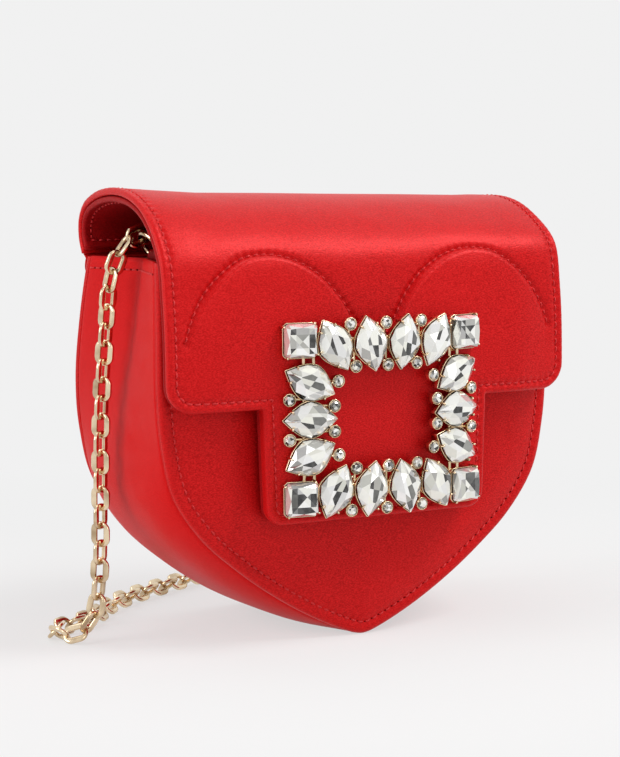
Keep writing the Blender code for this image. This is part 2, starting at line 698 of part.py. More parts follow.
def bar(bm, start, stop, width, low, high):
    a = Vector(start)
    b = Vector(stop)
    side = (b - a).normalized().orthogonal() * width * 0.5
    prism(bm, [tuple(a - side), tuple(b - side), tuple(b + side), tuple(a + side)][::-1], low, high)


stones = []
for index, (u, v) in enumerate(((-1, 1), (1, 1), (1, -1), (-1, -1))):
    stones.append(("corner_stone_%d" % (index + 1), "square", (u * CORNER_U, v * CORNER_V), 0.0))
for index, (top, low) in enumerate(zip(ROW_TILTS_TOP, ROW_TILTS_BOTTOM)):
    u = (index - 1.5) * ROW_PITCH
    stones.append(("top_stone_%d" % (index + 1), "lemon", (u, ROW_V), top))
    stones.append(("bottom_stone_%d" % (index + 1), "lemon", (u, -ROW_V), low))
for index, (left, right) in enumerate(zip(COLUMN_TILTS_LEFT, COLUMN_TILTS_RIGHT)):
    v = (1 - index) * COLUMN_PITCH
    stones.append(("left_stone_%d" % (index + 1), "lemon", (-COLUMN_U, v), left + 90.0))
    stones.append(("right_stone_%d" % (index + 1), "lemon", (COLUMN_U, v), right - 90.0))
outer_v = ROW_V + LEMON_HALF_LENGTH * OUTER_ROUND_OUT_SHARE
inner_v = ROW_V - LEMON_HALF_LENGTH * INNER_ROUND_IN_SHARE
outer_u = COLUMN_U + LEMON_HALF_LENGTH * OUTER_SIDE_OUT_SHARE
inner_u = COLUMN_U - LEMON_HALF_LENGTH * INNER_SIDE_IN_SHARE
rounds = []
for share in OUTER_ROUND_SHARES:
    u = share * ROW_PITCH
    rounds += [((u, outer_v), (u, ROW_V)), ((u, -outer_v), (u, -ROW_V))]
for share in INNER_ROUND_SHARES:
    u = share * ROW_PITCH
    rounds += [((u, inner_v), (u, ROW_V)), ((u, -inner_v), (u, -ROW_V))]
for share in INNER_SIDE_SHARES:
    v = share * COLUMN_PITCH
    bend = INNER_SIDE_SHIFT if abs(share) > 0.5 else 0.0
    rounds += [((bend - inner_u, v), (-COLUMN_U, v)), ((inner_u - bend, v), (COLUMN_U, v))]
for share in OUTER_SIDE_SHARES:
    v = share * COLUMN_PITCH
    rounds += [((-outer_u, v), (-COLUMN_U, v)), ((outer_u, v), (COLUMN_U, v))]

plate = bmesh.new()
for _, kind, centre, tilt in stones:
    if kind == "square":
        prism(plate, place(cut_square(CORNER_STONE + 2 * SETTING_RIM), centre, tilt), 0.0, BUCKLE_PLATE)
    else:
        rim = lemon(LEMON_HALF_LENGTH + SETTING_RIM, LEMON_HALF_WIDTH + SETTING_RIM)
        prism(plate, place(rim, centre, tilt)[::-1], 0.0, BUCKLE_PLATE)
for v in (ROW_V, -ROW_V):
    bar(plate, (-CORNER_U, v), (CORNER_U, v), BAR_WIDTH, 0.0, BUCKLE_PLATE * BAR_SHARE)
for u in (COLUMN_U, -COLUMN_U):
    bar(plate, (u, -CORNER_V), (u, CORNER_V), BAR_WIDTH, 0.0, BUCKLE_PLATE * BAR_SHARE)
for spot, root in rounds:
    bar(plate, root, spot, STEM_WIDTH, 0.0, BUCKLE_PLATE * BAR_SHARE)
    bead = place(ngon(ROUND_RADIUS, 6), spot, 0.0)
    prism(plate, bead, 0.0, BUCKLE_PLATE + ROUND_HEIGHT, ROUND_TABLE_SHARE)


def flat_object(name, bm):
    bmesh.ops.recalc_face_normals(bm, faces=bm.faces)
    mesh = bpy.data.meshes.new(name)
    bm.to_mesh(mesh)
    bm.free()
    obj = bpy.data.objects.new(name, mesh)
    bpy.context.scene.collection.objects.link(obj)
    return obj


def boolean(obj, cutter, operation, own):
    mod = obj.modifiers.new(operation.lower(), "BOOLEAN")
    mod.object = cutter
    mod.operation = operation
    mod.solver = "EXACT"
    mod.use_self = own
    cutter.hide_render = True
    cutter.display_type = "WIRE"
    apply_modifiers(obj)
    bpy.data.objects.remove(cutter, do_unlink=True)


def stone_shape(kind):
    if kind == "square":
        return cut_square(CORNER_STONE)
    return lemon(LEMON_HALF_LENGTH, LEMON_HALF_WIDTH)[::-1]


# Prongs stand just outside each stone, wherever no neighbour is in the way
edges = [np.array(place(stone_shape(kind), centre, tilt)) for _, kind, centre, tilt in stones]
prongs = bmesh.new()
prong_reach = PRONG_WIDTH * 0.5 + GAP
for own, edge in enumerate(edges):
    kind = stones[own][1]
    picks = (1, 3, 5, 7) if kind == "square" else (1, 4, 7, 10)
    for pick in picks:
        a = edge[pick]
        b = edge[(pick + 1) % len(edge)]
        run = (b - a) / np.linalg.norm(b - a)
        spot = (a + b) * 0.5 + np.array([run[1], -run[0]]) * prong_reach
        near = min(edge_distance(spot, np.vstack([other, other[:1]]))
                   for k, other in enumerate(edges) if k != own)
        if near < prong_reach:
            continue
        turn = math.degrees(math.atan2(run[1], run[0]))
        pin = place(ngon(PRONG_WIDTH * 0.5 * math.sqrt(2.0), 4), spot, turn)
        prism(prongs, pin, BUCKLE_PLATE * PRONG_FOOT_SHARE, BUCKLE_PLATE + PRONG_HEIGHT)
lattice = flat_object("buckle_frame", plate)
boolean(lattice, flat_object("prong_pins", prongs), "UNION", True)
bm = bmesh.new()
bm.from_mesh(lattice.data)
bpy.data.objects.remove(lattice, do_unlink=True)
bmesh.ops.remove_doubles(bm, verts=bm.verts, dist=SOLDER_MERGE)
bmesh.ops.dissolve_limit(bm, angle_limit=math.radians(FLAT_ANGLE), verts=bm.verts, edges=bm.edges)
bmesh.ops.delete(bm, geom=[e for e in bm.edges if not e.link_faces], context="EDGES")
bmesh.ops.triangulate(bm, faces=bm.faces)
for vert in bm.verts:
    vert.co = bowed(vert.co.x, vert.co.y, vert.co.z)
finish("buckle_frame", bm, GOLD)

for name, kind, centre, tilt in stones:
    shape = stone_shape(kind)
    bm = bmesh.new()
    base = [bm.verts.new((u * STONE_BASE_SHARE, v * STONE_BASE_SHARE, 0.0)) for u, v in shape]
    girdle = [bm.verts.new((u, v, STONE_HEIGHT * STONE_GIRDLE_SHARE)) for u, v in shape]
    table = [bm.verts.new((u * STONE_TABLE_SHARE, v * STONE_TABLE_SHARE, STONE_HEIGHT)) for u, v in shape]
    bm.faces.new(base[::-1])
    bm.faces.new(table)
    for ring, above in ((base, girdle), (girdle, table)):
        for i in range(len(ring)):
            j = (i + 1) % len(ring)
            bm.faces.new([ring[i], ring[j], above[j], above[i]])
    stone = finish(name, bm, GLASS)
    seat = bowed(centre[0], centre[1], BUCKLE_PLATE + GAP)
    bow_turn = Matrix.Rotation(centre[0] / BUCKLE_BOW_RADIUS, 4, "Z")
    upright = Matrix.Rotation(math.radians(90.0), 4, "X")
    own_turn = Matrix.Rotation(math.radians(tilt), 4, "Z")
    stone.matrix_world = Matrix.Translation(seat) @ bow_turn @ upright @ own_turn


# Tabs and rings inside the mouth, one at each side
def ring_path(steps=10):
    """Closed D in (y, up): straight bar at the bottom, round bow above it."""
    w = RING_HALF_WIDTH
    h = RING_HEIGHT
    points = [(-w * RING_BAR_SHARE, 0.0), (0.0, 0.0), (w * RING_BAR_SHARE, 0.0)]
    for k in range(steps + 1):
        a = math.pi * k / steps
        up = RING_SHOULDER_SHARE + (1.0 - RING_SHOULDER_SHARE) * math.sin(a)
        points.append((w * math.cos(a), h * up))
    return points


def tube_loop(name, points, radius, sides, look):
    """Closed tube swept round a loop of 3D points that lie in one plane."""
    bm = bmesh.new()
    pts = [Vector(p) for p in points]
    count = len(pts)
    flat = (pts[1] - pts[0]).cross(pts[count // 2] - pts[0]).normalized()
    rings = []
    for i in range(count):
        ahead = (pts[(i + 1) % count] - pts[i]).normalized()
        behind = (pts[i] - pts[i - 1]).normalized()
        run = (ahead + behind).normalized()
        out = run.cross(flat)
        rings.append([bm.verts.new(pts[i] + (out * math.cos(a) + flat * math.sin(a)) * radius)
                      for a in (2 * math.pi * (k + 0.5) / sides for k in range(sides))])
    for i in range(count):
        a = rings[i]
        b = rings[(i + 1) % count]
        for k in range(sides):
            m = (k + 1) % sides
            bm.faces.new([a[k], a[m], b[m], b[k]])
    return finish(name, bm, look)


fold_depth = float(gusset_offset(1.0, 0.0))
valley_inside = BODY_HALF_WIDTH + fold_depth - LINING_OUT - LINING_THICKNESS
TAB_GRIP = RING_WIRE * 0.5 + GAP
ring_x = valley_inside - GAP - TAB_CLOTH - TAB_GRIP
ring_z = MOUTH_HEIGHT + RING_RISE
lean = math.radians(RING_LEAN)
ring_tops = {}
for side_name, sign in (("left", -1.0), ("right", 1.0)):
    loop = []
    for y, up in ring_path():
        loop.append((sign * (ring_x + up * math.sin(lean)), y, ring_z + up * math.cos(lean)))
    tube_loop(side_name + "_ring", loop, RING_WIRE * 0.5, 8, GOLD)
    ring_tops[side_name] = Vector((sign * (ring_x + RING_HEIGHT * math.sin(lean)), 0.0,
                                   ring_z + RING_HEIGHT * math.cos(lean)))
    mid = TAB_GRIP + TAB_CLOTH * 0.5
    path = [(mid, ring_z - TAB_LENGTH), (mid, ring_z - TAB_LENGTH * 0.5)]
    path += [(mid * math.cos(a), ring_z + mid * math.sin(a)) for a in np.radians(np.linspace(0, 180, 9))]
    path += [(-mid, ring_z - TAB_LENGTH * 0.5), (-mid, ring_z - TAB_LENGTH)]
    path = np.array(path)
    off = normals_of(path) * TAB_CLOTH * 0.5
    outer = []
    inner = []
    for p, o in zip(path, off):
        for y in (-0.5 * TAB_WIDTH, 0.5 * TAB_WIDTH):
            outer.append((sign * (ring_x + p[0] + o[0]), y, p[1] + o[1]))
            inner.append((sign * (ring_x + p[0] - o[0]), y, p[1] - o[1]))
    shell(side_name + "_tab", outer, inner, strip_faces(len(path), 1), SATIN)

# Chain route in real positions
HANK_PITCH = 2.0 * (FLOOR_LIFT - FLOOR_SPARE) + HANK_SPARE
HANK_LEFT, HANK_RIGHT = (share * FLAP_HALF_WIDTH for share in HANK_ENDS_SHARES)
HANK_BACK = HANK_BACK_SHARE * BODY_HALF_DEPTH


def route(shares):
    """Real positions of a stretch of the chain's route."""
    climb = MOUTH_HEIGHT - FLOOR_LIFT
    return [(x * FLAP_HALF_WIDTH, y * BODY_HALF_DEPTH, FLOOR_LIFT + z * climb) for x, y, z in shares]


hang_left = route(HANG_LEFT_SHARES)
heap = route(HEAP_SHARES)
floor_run = route(RUN_SHARES)
rise_right = route(RISE_RIGHT_SHARES)


def hank():
    """Parallel passes joined by half turns, laid from the back towards the bag."""
    points = []
    radius = HANK_PITCH * 0.5
    for k in range(HANK_PASSES):
        y = HANK_BACK - k * HANK_PITCH
        start, stop = (HANK_LEFT, HANK_RIGHT) if k % 2 == 0 else (HANK_RIGHT, HANK_LEFT)
        for t in np.linspace(0.0, 1.0, 6):
            points.append((start + (stop - start) * t, y, FLOOR_LIFT))
        if k < HANK_PASSES - 1:
            way = 1.0 if k % 2 == 0 else -1.0
            for a in np.radians((45.0, 90.0, 135.0)):
                x = stop + way * radius * math.sin(a)
                points.append((x, y - radius + radius * math.cos(a), FLOOR_LIFT))
    return points


END_HOOK = LINK_LENGTH * 0.5 - LINK_WIRE - RING_WIRE * 0.5 - GAP
link_half = (LINK_LENGTH - LINK_WIRE) * 0.5
link_side = (LINK_WIDTH - LINK_WIRE) * 0.5
link_cut = link_side * LINK_CUT_SHARE
LINK_RING = ((link_half, link_side - link_cut), (link_half - link_cut, link_side),
             (link_cut - link_half, link_side), (-link_half, link_side - link_cut),
             (-link_half, link_cut - link_side), (link_cut - link_half, -link_side),
             (link_half - link_cut, -link_side), (link_half, link_cut - link_side))


def add_link(bm, centre, run, across, tilt):
    """One flat link: square wire round a long cut-cornered loop."""
    up = across.cross(run).normalized()
    c = math.cos(math.radians(tilt))
    s = math.sin(math.radians(tilt))
    wide = across * c + up * s
    flat = up * c - across * s
    half = LINK_WIRE * 0.5
    rings = []
    count = len(LINK_RING)
    for i in range(count):
        p = Vector(LINK_RING[i])
        before = Vector(LINK_RING[i - 1])
        after = Vector(LINK_RING[(i + 1) % count])
        a = (p - before).normalized()
        b = (after - p).normalized()
        t = (a + b).normalized()
        out = Vector((-t.y, t.x)) / max(t.dot(a), 0.5)
        ring = []
        for d, h in ((half, half), (half, -half), (-half, -half), (-half, half)):
            q = p + out * d
            ring.append(bm.verts.new(centre + run * q.x + wide * q.y + flat * h))
        rings.append(ring)
    for i in range(count):
        a = rings[i]
        b = rings[(i + 1) % count]
        for k in range(4):
            m = (k + 1) % 4
            bm.faces.new([a[k], b[k], b[m], a[m]])


hank_points = hank()
hook_left = ring_tops["left"] + (Vector(hang_left[0]) - ring_tops["left"]).normalized() * END_HOOK
hook_right = ring_tops["right"] + (Vector(rise_right[-1]) - ring_tops["right"]).normalized() * END_HOOK
chain_line = spline([tuple(hook_left)] + hang_left + heap + floor_run + hank_points + rise_right
                    + [tuple(hook_right)], per=ROUTE_STEPS)
chain_line[:, 2] = np.maximum(chain_line[:, 2], FLOOR_LIFT)
total = lengths(chain_line)
marks = {}
starts = (("heap", heap[0]), ("run", floor_run[0]), ("hank", hank_points[0]), ("rise", rise_right[0]))
for key, spot in starts:
    marks[key] = float(total[int(np.argmin(np.linalg.norm(chain_line - np.array(spot), axis=1)))])
names = ("chain_left_hang", "chain_floor_heap", "chain_floor_run", "chain_floor_hank", "chain_right_rise")
ends = (marks["heap"], marks["run"], marks["hank"], marks["rise"], float(total[-1]))


def walk(pitch):
    """Set links along the route by straight steps; a step is shorter where a new stretch starts."""
    spots = [0]
    owners = [0]
    group = 0
    while True:
        start = spots[-1]
        near = np.linalg.norm(chain_line[start:start + WALK_WINDOW] - chain_line[start], axis=1)
        probe = int(np.argmax(near >= pitch))
        if probe == 0:
            return spots, owners, float(total[-1] - total[start])
        if group < len(ends) - 1 and total[start + probe] > ends[group]:
            group += 1
            probe = int(np.argmax(near >= LINK_GAP_PITCH))
        spots.append(start + probe)
        owners.append(group)


# The pitch that lands the last link on the right ring
trials = [walk(LINK_PITCH * k) for k in np.linspace(1.0, 1.0 + LINK_STRETCH, PITCH_TRIALS)]
links, groups, left_over = min(trials, key=lambda trial: trial[2])
print("link pitch left over", round(left_over, 5))

# Each link's frame follows the last one's and eases level where the chain lies on the floor
frames = []
across = Vector((0.0, 1.0, 0.0))
for spot in links:
    low = int(np.searchsorted(total, total[spot] - LINK_PITCH * 0.5))
    high = min(int(np.searchsorted(total, total[spot] + LINK_PITCH * 0.5)), len(chain_line) - 1)
    run = Vector(chain_line[high] - chain_line[low]).normalized()
    across = (across - run * across.dot(run)).normalized()
    level = run.cross(Vector((0.0, 0.0, 1.0)))
    if level.length > 0.5:
        level.normalize()
        if level.dot(across) < 0.0:
            level = -level
        apart = across.angle(level)
        if apart > 1e-4:
            ease = min(1.0, math.radians(LINK_TWIST) / apart)
            across = across.lerp(level, ease).normalized()
    frames.append((run, across.copy()))

last_sign = 1.0 if (len(links) - 1) % 2 else -1.0
for number, name in enumerate(names):
    sets = (bmesh.new(), bmesh.new())
    for k, (spot, owner, frame) in enumerate(zip(links, groups, frames)):
        if owner == number:
            tilt = LINK_TILT if k % 2 else -LINK_TILT
            from_end = len(links) - 1 - k
            tilt -= LINK_TILT * max(0.0, 1.0 - k / END_LINKS)
            tilt += last_sign * LINK_TILT * max(0.0, 1.0 - from_end / END_LINKS)
            add_link(sets[k % 2], Vector(chain_line[spot]), frame[0], frame[1], tilt)
    chain = flat_object(name, sets[0])
    boolean(chain, flat_object(name + "_odd", sets[1]), "UNION", False)
    bm = bmesh.new()
    bm.from_mesh(chain.data)
    bpy.data.objects.remove(chain, do_unlink=True)
    bmesh.ops.triangulate(bm, faces=bm.faces)
    finish(name, bm, GOLD)

# The flap's fold line at the back of the mouth
hinge = bpy.data.objects.new("flap_hinge", None)
hinge.location = (0.0, HINGE_DEPTH, MOUTH_HEIGHT)
bpy.context.scene.collection.objects.link(hinge)
flap_names = ["flap_shell", "flap_lining", "flap_magnet", "buckle_frame"] + [stone[0] for stone in stones]
bpy.context.view_layer.update()
for name in flap_names:
    piece = bpy.data.objects[name]
    piece.parent = hinge
    piece.matrix_parent_inverse = hinge.matrix_world.inverted()

# Centre the bag itself, without its chain, over the origin
bpy.context.view_layer.update()
low = min((o.matrix_world @ v.co).y for o in bpy.data.objects
          if o.type == "MESH" and not o.name.startswith("chain") for v in o.data.vertices)
high = max((o.matrix_world @ v.co).y for o in bpy.data.objects
           if o.type == "MESH" and not o.name.startswith("chain") for v in o.data.vertices)
for obj in bpy.data.objects:
    if obj.parent is None:
        obj.location.y -= (low + high) * 0.5
bpy.context.view_layer.update()
print("depth", round(low, 5), round(high, 5))
print("chain links", len(links), "length", round(float(total[-1]), 4))
print("hinge", tuple(round(c, 5) for c in hinge.location))
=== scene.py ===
# Looks of a padded satin evening clutch: quilted heart flap, jewelled buckle, flat-link chain.
# Metres, +Z up, front towards -Y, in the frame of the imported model.
import math
import random

import bmesh
import bpy
import numpy as np
from mathutils import Matrix, Vector
from mathutils.geometry import delaunay_2d_cdt


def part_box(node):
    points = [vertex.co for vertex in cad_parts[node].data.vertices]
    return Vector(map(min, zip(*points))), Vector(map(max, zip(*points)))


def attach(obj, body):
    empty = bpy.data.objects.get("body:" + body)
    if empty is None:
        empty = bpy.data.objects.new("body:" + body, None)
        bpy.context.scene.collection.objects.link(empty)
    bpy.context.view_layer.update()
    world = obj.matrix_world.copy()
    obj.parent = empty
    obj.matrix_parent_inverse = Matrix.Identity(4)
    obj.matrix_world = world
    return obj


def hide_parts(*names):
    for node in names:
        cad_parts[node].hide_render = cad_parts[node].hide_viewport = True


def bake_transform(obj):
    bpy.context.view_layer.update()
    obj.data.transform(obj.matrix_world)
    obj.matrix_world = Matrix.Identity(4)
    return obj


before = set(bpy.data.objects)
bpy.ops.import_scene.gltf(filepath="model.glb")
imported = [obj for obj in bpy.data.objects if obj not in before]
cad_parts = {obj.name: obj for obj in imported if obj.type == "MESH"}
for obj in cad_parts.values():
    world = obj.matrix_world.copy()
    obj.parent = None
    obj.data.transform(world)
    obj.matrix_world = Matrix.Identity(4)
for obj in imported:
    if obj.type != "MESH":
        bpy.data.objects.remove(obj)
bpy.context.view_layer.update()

# Camera, fitted to the photograph's 620 by 757 frame; angles in degrees
IMAGE_LONG_SIDE = 757.0
FOCAL_PIXELS = 2300.0
SENSOR_MM = 36.0
CAMERA_YAW = 29.2
CAMERA_PITCH = 6.0
CAMERA_ROLL = -0.45
CAMERA_DISTANCE = 0.8182
CAMERA_TARGET = (-0.00906, -0.00484, 0.08945)

# Body sizes, as the frame has them
GAP = 0.0003
PANEL_THICKNESS = 0.0030
GUSSET_THICKNESS = 0.0020
LINING_THICKNESS = 0.0008
FLAP_SKIN = 0.0027
FLAP_LINING = 0.0020
BODY_HALF_WIDTH = 0.0785
MOUTH_HEIGHT = 0.1340
BODY_HALF_DEPTH = 0.0290
PANEL_CROWN = 0.0010
BACK_CROWN = 0.0012
CROWN_REACH = 0.022
BACK_FULLNESS = 0.0140
BACK_FLAT_SHARE = 0.560
LINING_DROP = 0.0010
OUTLINE_SHARES = ((0.0, 0.0), (0.046, 0.0051), (0.2366, 0.054), (0.4417, 0.1236), (0.6259, 0.2015),
                  (0.7949, 0.2896), (0.9261, 0.4), (0.981, 0.53), (1.0, 0.6612), (1.0, 0.83), (1.0, 1.0))
OUTLINE_STEPS = 96
GUSSET_SWELL_SHARES = ((0.0, 0.0), (0.12, 0.62), (0.28, 0.95), (0.45, 1.0), (0.58, 0.45),
                       (0.70, -0.30), (0.85, -1.05), (1.0, -1.35))
GUSSET_SWELL = 0.0060
GUSSET_FOLD_POWER = 1.15
GUSSET_FULLNESS = 4.0
GUSSET_ROWS = 36
GUSSET_ROLL = 0.0010
GUSSET_HALF = BODY_HALF_DEPTH - PANEL_THICKNESS - GAP

# Flap sizes, as the frame has them
FLAP_SPACE = 0.00299
HINGE_STAND = 0.0018
FLAP_PROFILE_SHARES = ((1.0, 1.0), (1.079, 1.041), (1.079, 1.086), (0.954, 1.128), (0.672, 1.158),
                       (0.313, 1.172), (-0.053, 1.170), (-0.342, 1.151), (-0.579, 1.116),
                       (-0.776, 1.063), (-0.908, 1.0), (-0.961, 0.910), (-0.992, 0.815),
                       (-1.0, 0.634), (-1.0, 0.478), (-1.0, 0.325))
PROFILE_STEPS = 30
FLAP_HALF_WIDTH = BODY_HALF_WIDTH + 0.0010
FLAP_STEP_HEIGHT_SHARE = 0.624
FLAP_STEP_RADIUS = 0.0095
TONGUE_HALF_WIDTH = 0.0448
TONGUE_CORNER_RADIUS = 0.0065
TONGUE_TAPER = 0.0012
CORNER_STEPS = 9
LOBE_SHARES = ((0.0, 0.735), (0.045, 0.790), (0.107, 0.843), (0.161, 0.896), (0.245, 0.951),
               (0.352, 0.991), (0.428, 1.007), (0.516, 1.014), (0.616, 1.007), (0.692, 0.985),
               (0.811, 0.925), (0.880, 0.858), (0.925, 0.780))
FLAP_THICKNESS = FLAP_SKIN + GAP + FLAP_LINING
FLAP_FACE = BODY_HALF_DEPTH + PANEL_CROWN + FLAP_SPACE + FLAP_THICKNESS
HINGE_DEPTH = BODY_HALF_DEPTH + BACK_CROWN + HINGE_STAND

# Slump of the soft arch: places across the flap, the drop there, and the height it grows over
SLUMP_AT = (-0.0795, -0.0670, -0.0470, -0.0200, 0.0040, 0.0370, 0.0600, 0.0795)
SLUMP_DROP = (-0.0012, 0.0003, 0.0017, 0.0023, 0.0030, 0.0038, 0.0045, 0.0044)
SLUMP_RISE = 0.0190

# Relief of the padded cloth and its seams
FLAP_PAD = 0.0020
FLAP_PAD_ROLL = 0.0021
LOBE_VALLEY = 0.00090
LOBE_VALLEY_WIDTH = 0.0011
LOBE_END = 0.0730
LOBE_FADE = 0.0200
LOBE_SPACING = 0.0009
LOBE_MARGIN = 0.0050
FLAP_ROLL = 0.0016
FACING_ROLL = 0.0009
PANEL_ROLL = 0.0017
PANEL_BACK_ROLL = 0.0008
STITCH_INSET = 0.0033
PANEL_STITCH_INSET = 0.0043
STITCH_VALLEY = 0.00050
STITCH_VALLEY_WIDTH = 0.0010
FACING_VALLEY = 0.0002
FACING_VALLEY_WIDTH = 0.0009
STITCH_PUCKER = 0.42
PUCKER_RUN = 0.0034
PUCKER_DEPTH = 0.00008
PUFF = 0.0007
PUFF_REACH = 0.0090
PUFF_END = (0.040, 0.020)

# Threads, and the dark marks between the stitches that are painted shadow
STITCH_PITCH = 0.0030
STITCH_LENGTH = 0.0023
STITCH_RADIUS = 0.00026
THREAD_SIDES = 6
THREAD_PLACES = (-1.0, -0.82, -0.4, 0.0, 0.4, 0.82, 1.0)
SHADOW_MARK_RADIUS = 0.00036
SHADOW_MARK_SIDES = 8
SHADOW_MARK_POLES = (0.25, -0.6)
HEM_DROP = 0.0042
SEAM_STEP = 0.001

# How far the bag's own middle lies from the frame's origin, along Y
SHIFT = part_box("gusset")[0].y + GUSSET_HALF


def back_reach(z):
    """How far the back stands out beyond the depth of the mouth, at a height."""
    share = np.clip((z / MOUTH_HEIGHT - BACK_FLAT_SHARE) / (1.0 - BACK_FLAT_SHARE), 0.0, 1.0)
    return BACK_FULLNESS * (1.0 - share ** 2)


def lengths(points):
    return np.concatenate([[0.0], np.cumsum(np.linalg.norm(np.diff(points, axis=0), axis=1))])


def resample(points, count):
    run = lengths(points)
    at = np.linspace(0.0, run[-1], count)
    return np.stack([np.interp(at, run, points[:, k]) for k in range(points.shape[1])], axis=1)


def between(first, second, start, stop, t):
    return (stop - t) / (stop - start) * first + (t - start) / (stop - start) * second


def spline(points, per=10):
    """Smooth curve through hand-set points, per steps between two of them."""
    pts = np.array(points, float)
    pts = np.vstack([2 * pts[0] - pts[1], pts, 2 * pts[-1] - pts[-2]])
    out = []
    for i in range(1, len(pts) - 2):
        four = pts[i - 1:i + 3]
        gaps = np.maximum(np.linalg.norm(np.diff(four, axis=0), axis=1), 1e-9)
        knots = np.concatenate([[0.0], np.cumsum(gaps ** 0.5)])
        for t in np.linspace(knots[1], knots[2], per, endpoint=False):
            a = [between(four[k], four[k + 1], knots[k], knots[k + 1], t) for k in range(3)]
            b = [between(a[k], a[k + 1], knots[k], knots[k + 2], t) for k in range(2)]
            out.append(between(b[0], b[1], knots[1], knots[2], t))
    out.append(pts[-2])
    return np.array(out)


def normals_of(line):
    run = np.gradient(line, axis=0)
    run /= np.linalg.norm(run, axis=1)[:, None]
    return np.stack([run[:, 1], -run[:, 0]], axis=1)


def smooth(t):
    t = np.clip(t, 0.0, 1.0)
    return t * t * (3.0 - 2.0 * t)


def near(points, line, chunk=2500):
    """Distance from each 2D point to a polyline, and how far along the line its nearest point is."""
    points = np.asarray(points, float)
    step = np.diff(line, axis=0)
    size = np.maximum((step * step).sum(1), 1e-15)
    run = lengths(line)[:-1]
    gaps = np.empty(len(points))
    along = np.empty(len(points))
    for first in range(0, len(points), chunk):
        part = points[first:first + chunk, None, :] - line[:-1]
        t = np.clip((part * step).sum(2) / size, 0.0, 1.0)
        gap = np.linalg.norm(part - step * t[:, :, None], axis=2)
        pick = gap.argmin(1)
        rows = np.arange(len(pick))
        gaps[first:first + chunk] = gap[rows, pick]
        along[first:first + chunk] = run[pick] + t[rows, pick] * np.sqrt(size[pick])
    return gaps, along


def closed(line):
    return np.vstack([line, line[:1]])


def densify(line, spacing):
    """Points no further apart than spacing along an open polyline, corners kept."""
    out = []
    for a, b in zip(line[:-1], line[1:]):
        count = max(1, int(math.ceil(np.linalg.norm(b - a) / spacing)))
        out.extend(a + (b - a) * (k / count) for k in range(count))
    out.append(line[-1])
    return np.array(out)


def corner_arc(centre, radius):
    """Quarter round from +X to +Y."""
    turn = np.radians(np.linspace(0.0, 90.0, CORNER_STEPS))
    return [(centre[0] + radius * math.cos(a), centre[1] + radius * math.sin(a)) for a in turn]


def inside(points, loop):
    """Which 2D points lie inside a closed loop."""
    hit = np.zeros(len(points), bool)
    x, z = points[:, 0], points[:, 1]
    for (ax, az), (bx, bz) in zip(loop[:-1], loop[1:]):
        if az != bz:
            hit ^= ((az > z) != (bz > z)) & (x < ax + (z - az) / (bz - az) * (bx - ax))
    return hit


def triangulate(loops, lines, spacing, clear):
    """Fill the first loop with triangles that follow the inner loops, the lines and a staggered grid."""
    last = closed(loops[-1])
    low, high = loops[0].min(0), loops[0].max(0)
    rise = spacing * math.sqrt(0.75)
    grid = []
    for row in range(int((high[1] - low[1]) / rise) + 1):
        xs = np.arange(low[0] + (spacing * 0.5 if row % 2 else 0.0), high[0], spacing)
        grid.append(np.stack([xs, np.full(len(xs), low[1] + row * rise)], axis=1))
    grid = np.vstack(grid)
    grid = grid[inside(grid, last)]
    for line in [last] + lines:
        grid = grid[near(grid, line)[0] > clear]
    verts, edges = [], []
    for line, ends in [(loop, 0) for loop in loops] + [(line, 1) for line in lines]:
        first, count = len(verts), len(line)
        verts.extend(Vector(p) for p in line)
        edges.extend((first + i, first + (i + 1) % count) for i in range(count - ends))
    verts.extend(Vector(p) for p in grid)
    out, _, tris, _, _, _ = delaunay_2d_cdt(verts, edges, [], 1, 1e-7)
    return np.array([(v.x, v.y) for v in out]), [list(t) for t in tris]


def link_object(name, data):
    obj = bpy.data.objects.new(name, data)
    bpy.context.scene.collection.objects.link(obj)
    return obj


def new_object(name, verts, faces, look):
    """Smooth closed mesh with its faces turned outwards."""
    mesh = bpy.data.meshes.new(name)
    mesh.from_pydata([tuple(v) for v in verts], [], faces)
    mesh.validate()
    bm = bmesh.new()
    bm.from_mesh(mesh)
    bmesh.ops.recalc_face_normals(bm, faces=bm.faces)
    bm.to_mesh(mesh)
    bm.free()
    mesh.materials.append(look)
    mesh.shade_smooth()
    return link_object(name, mesh)


def place_piece(obj, body, slot, *nodes):
    """Give a piece its body and hide the CAD nodes that it replaces; slot is not used."""
    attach(obj, body)
    if nodes:
        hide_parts(*nodes)
    return obj


def shell(name, outer, inner, faces, look):
    """Closed sheet: outer skin, inner skin and the rim that joins them."""
    count = len(outer)
    every = [list(face) for face in faces]
    every += [[count + i for i in reversed(face)] for face in faces]
    sides = {side for face in faces for side in zip(face, face[1:] + face[:1])}
    every += [[j, i, count + i, count + j] for i, j in sides if (j, i) not in sides]
    return new_object(name, list(outer) + list(inner), every, look)


def round_ring(centre, across, up, wide, tall, sides, offset=0.0):
    """Points of an oval round a centre."""
    turns = [2.0 * math.pi * (k + offset) / sides for k in range(sides)]
    return [centre + across * math.cos(a) * wide + up * math.sin(a) * tall for a in turns]


def bridge(rings, sides, loop=False):
    """Faces of a tube from its rings of points, closed in a loop or capped at both ends."""
    faces = []
    for i in range(rings if loop else rings - 1):
        j = (i + 1) % rings
        for k in range(sides):
            m = (k + 1) % sides
            faces.append([i * sides + k, i * sides + m, j * sides + m, j * sides + k])
    if not loop:
        faces.append(list(reversed(range(sides))))
        faces.append([(rings - 1) * sides + k for k in range(sides)])
    return faces


def fan(first, sides, pole):
    """Faces between a ring of points and the point in its middle."""
    return [[first + k, first + (k + 1) % sides, pole] for k in range(sides)]


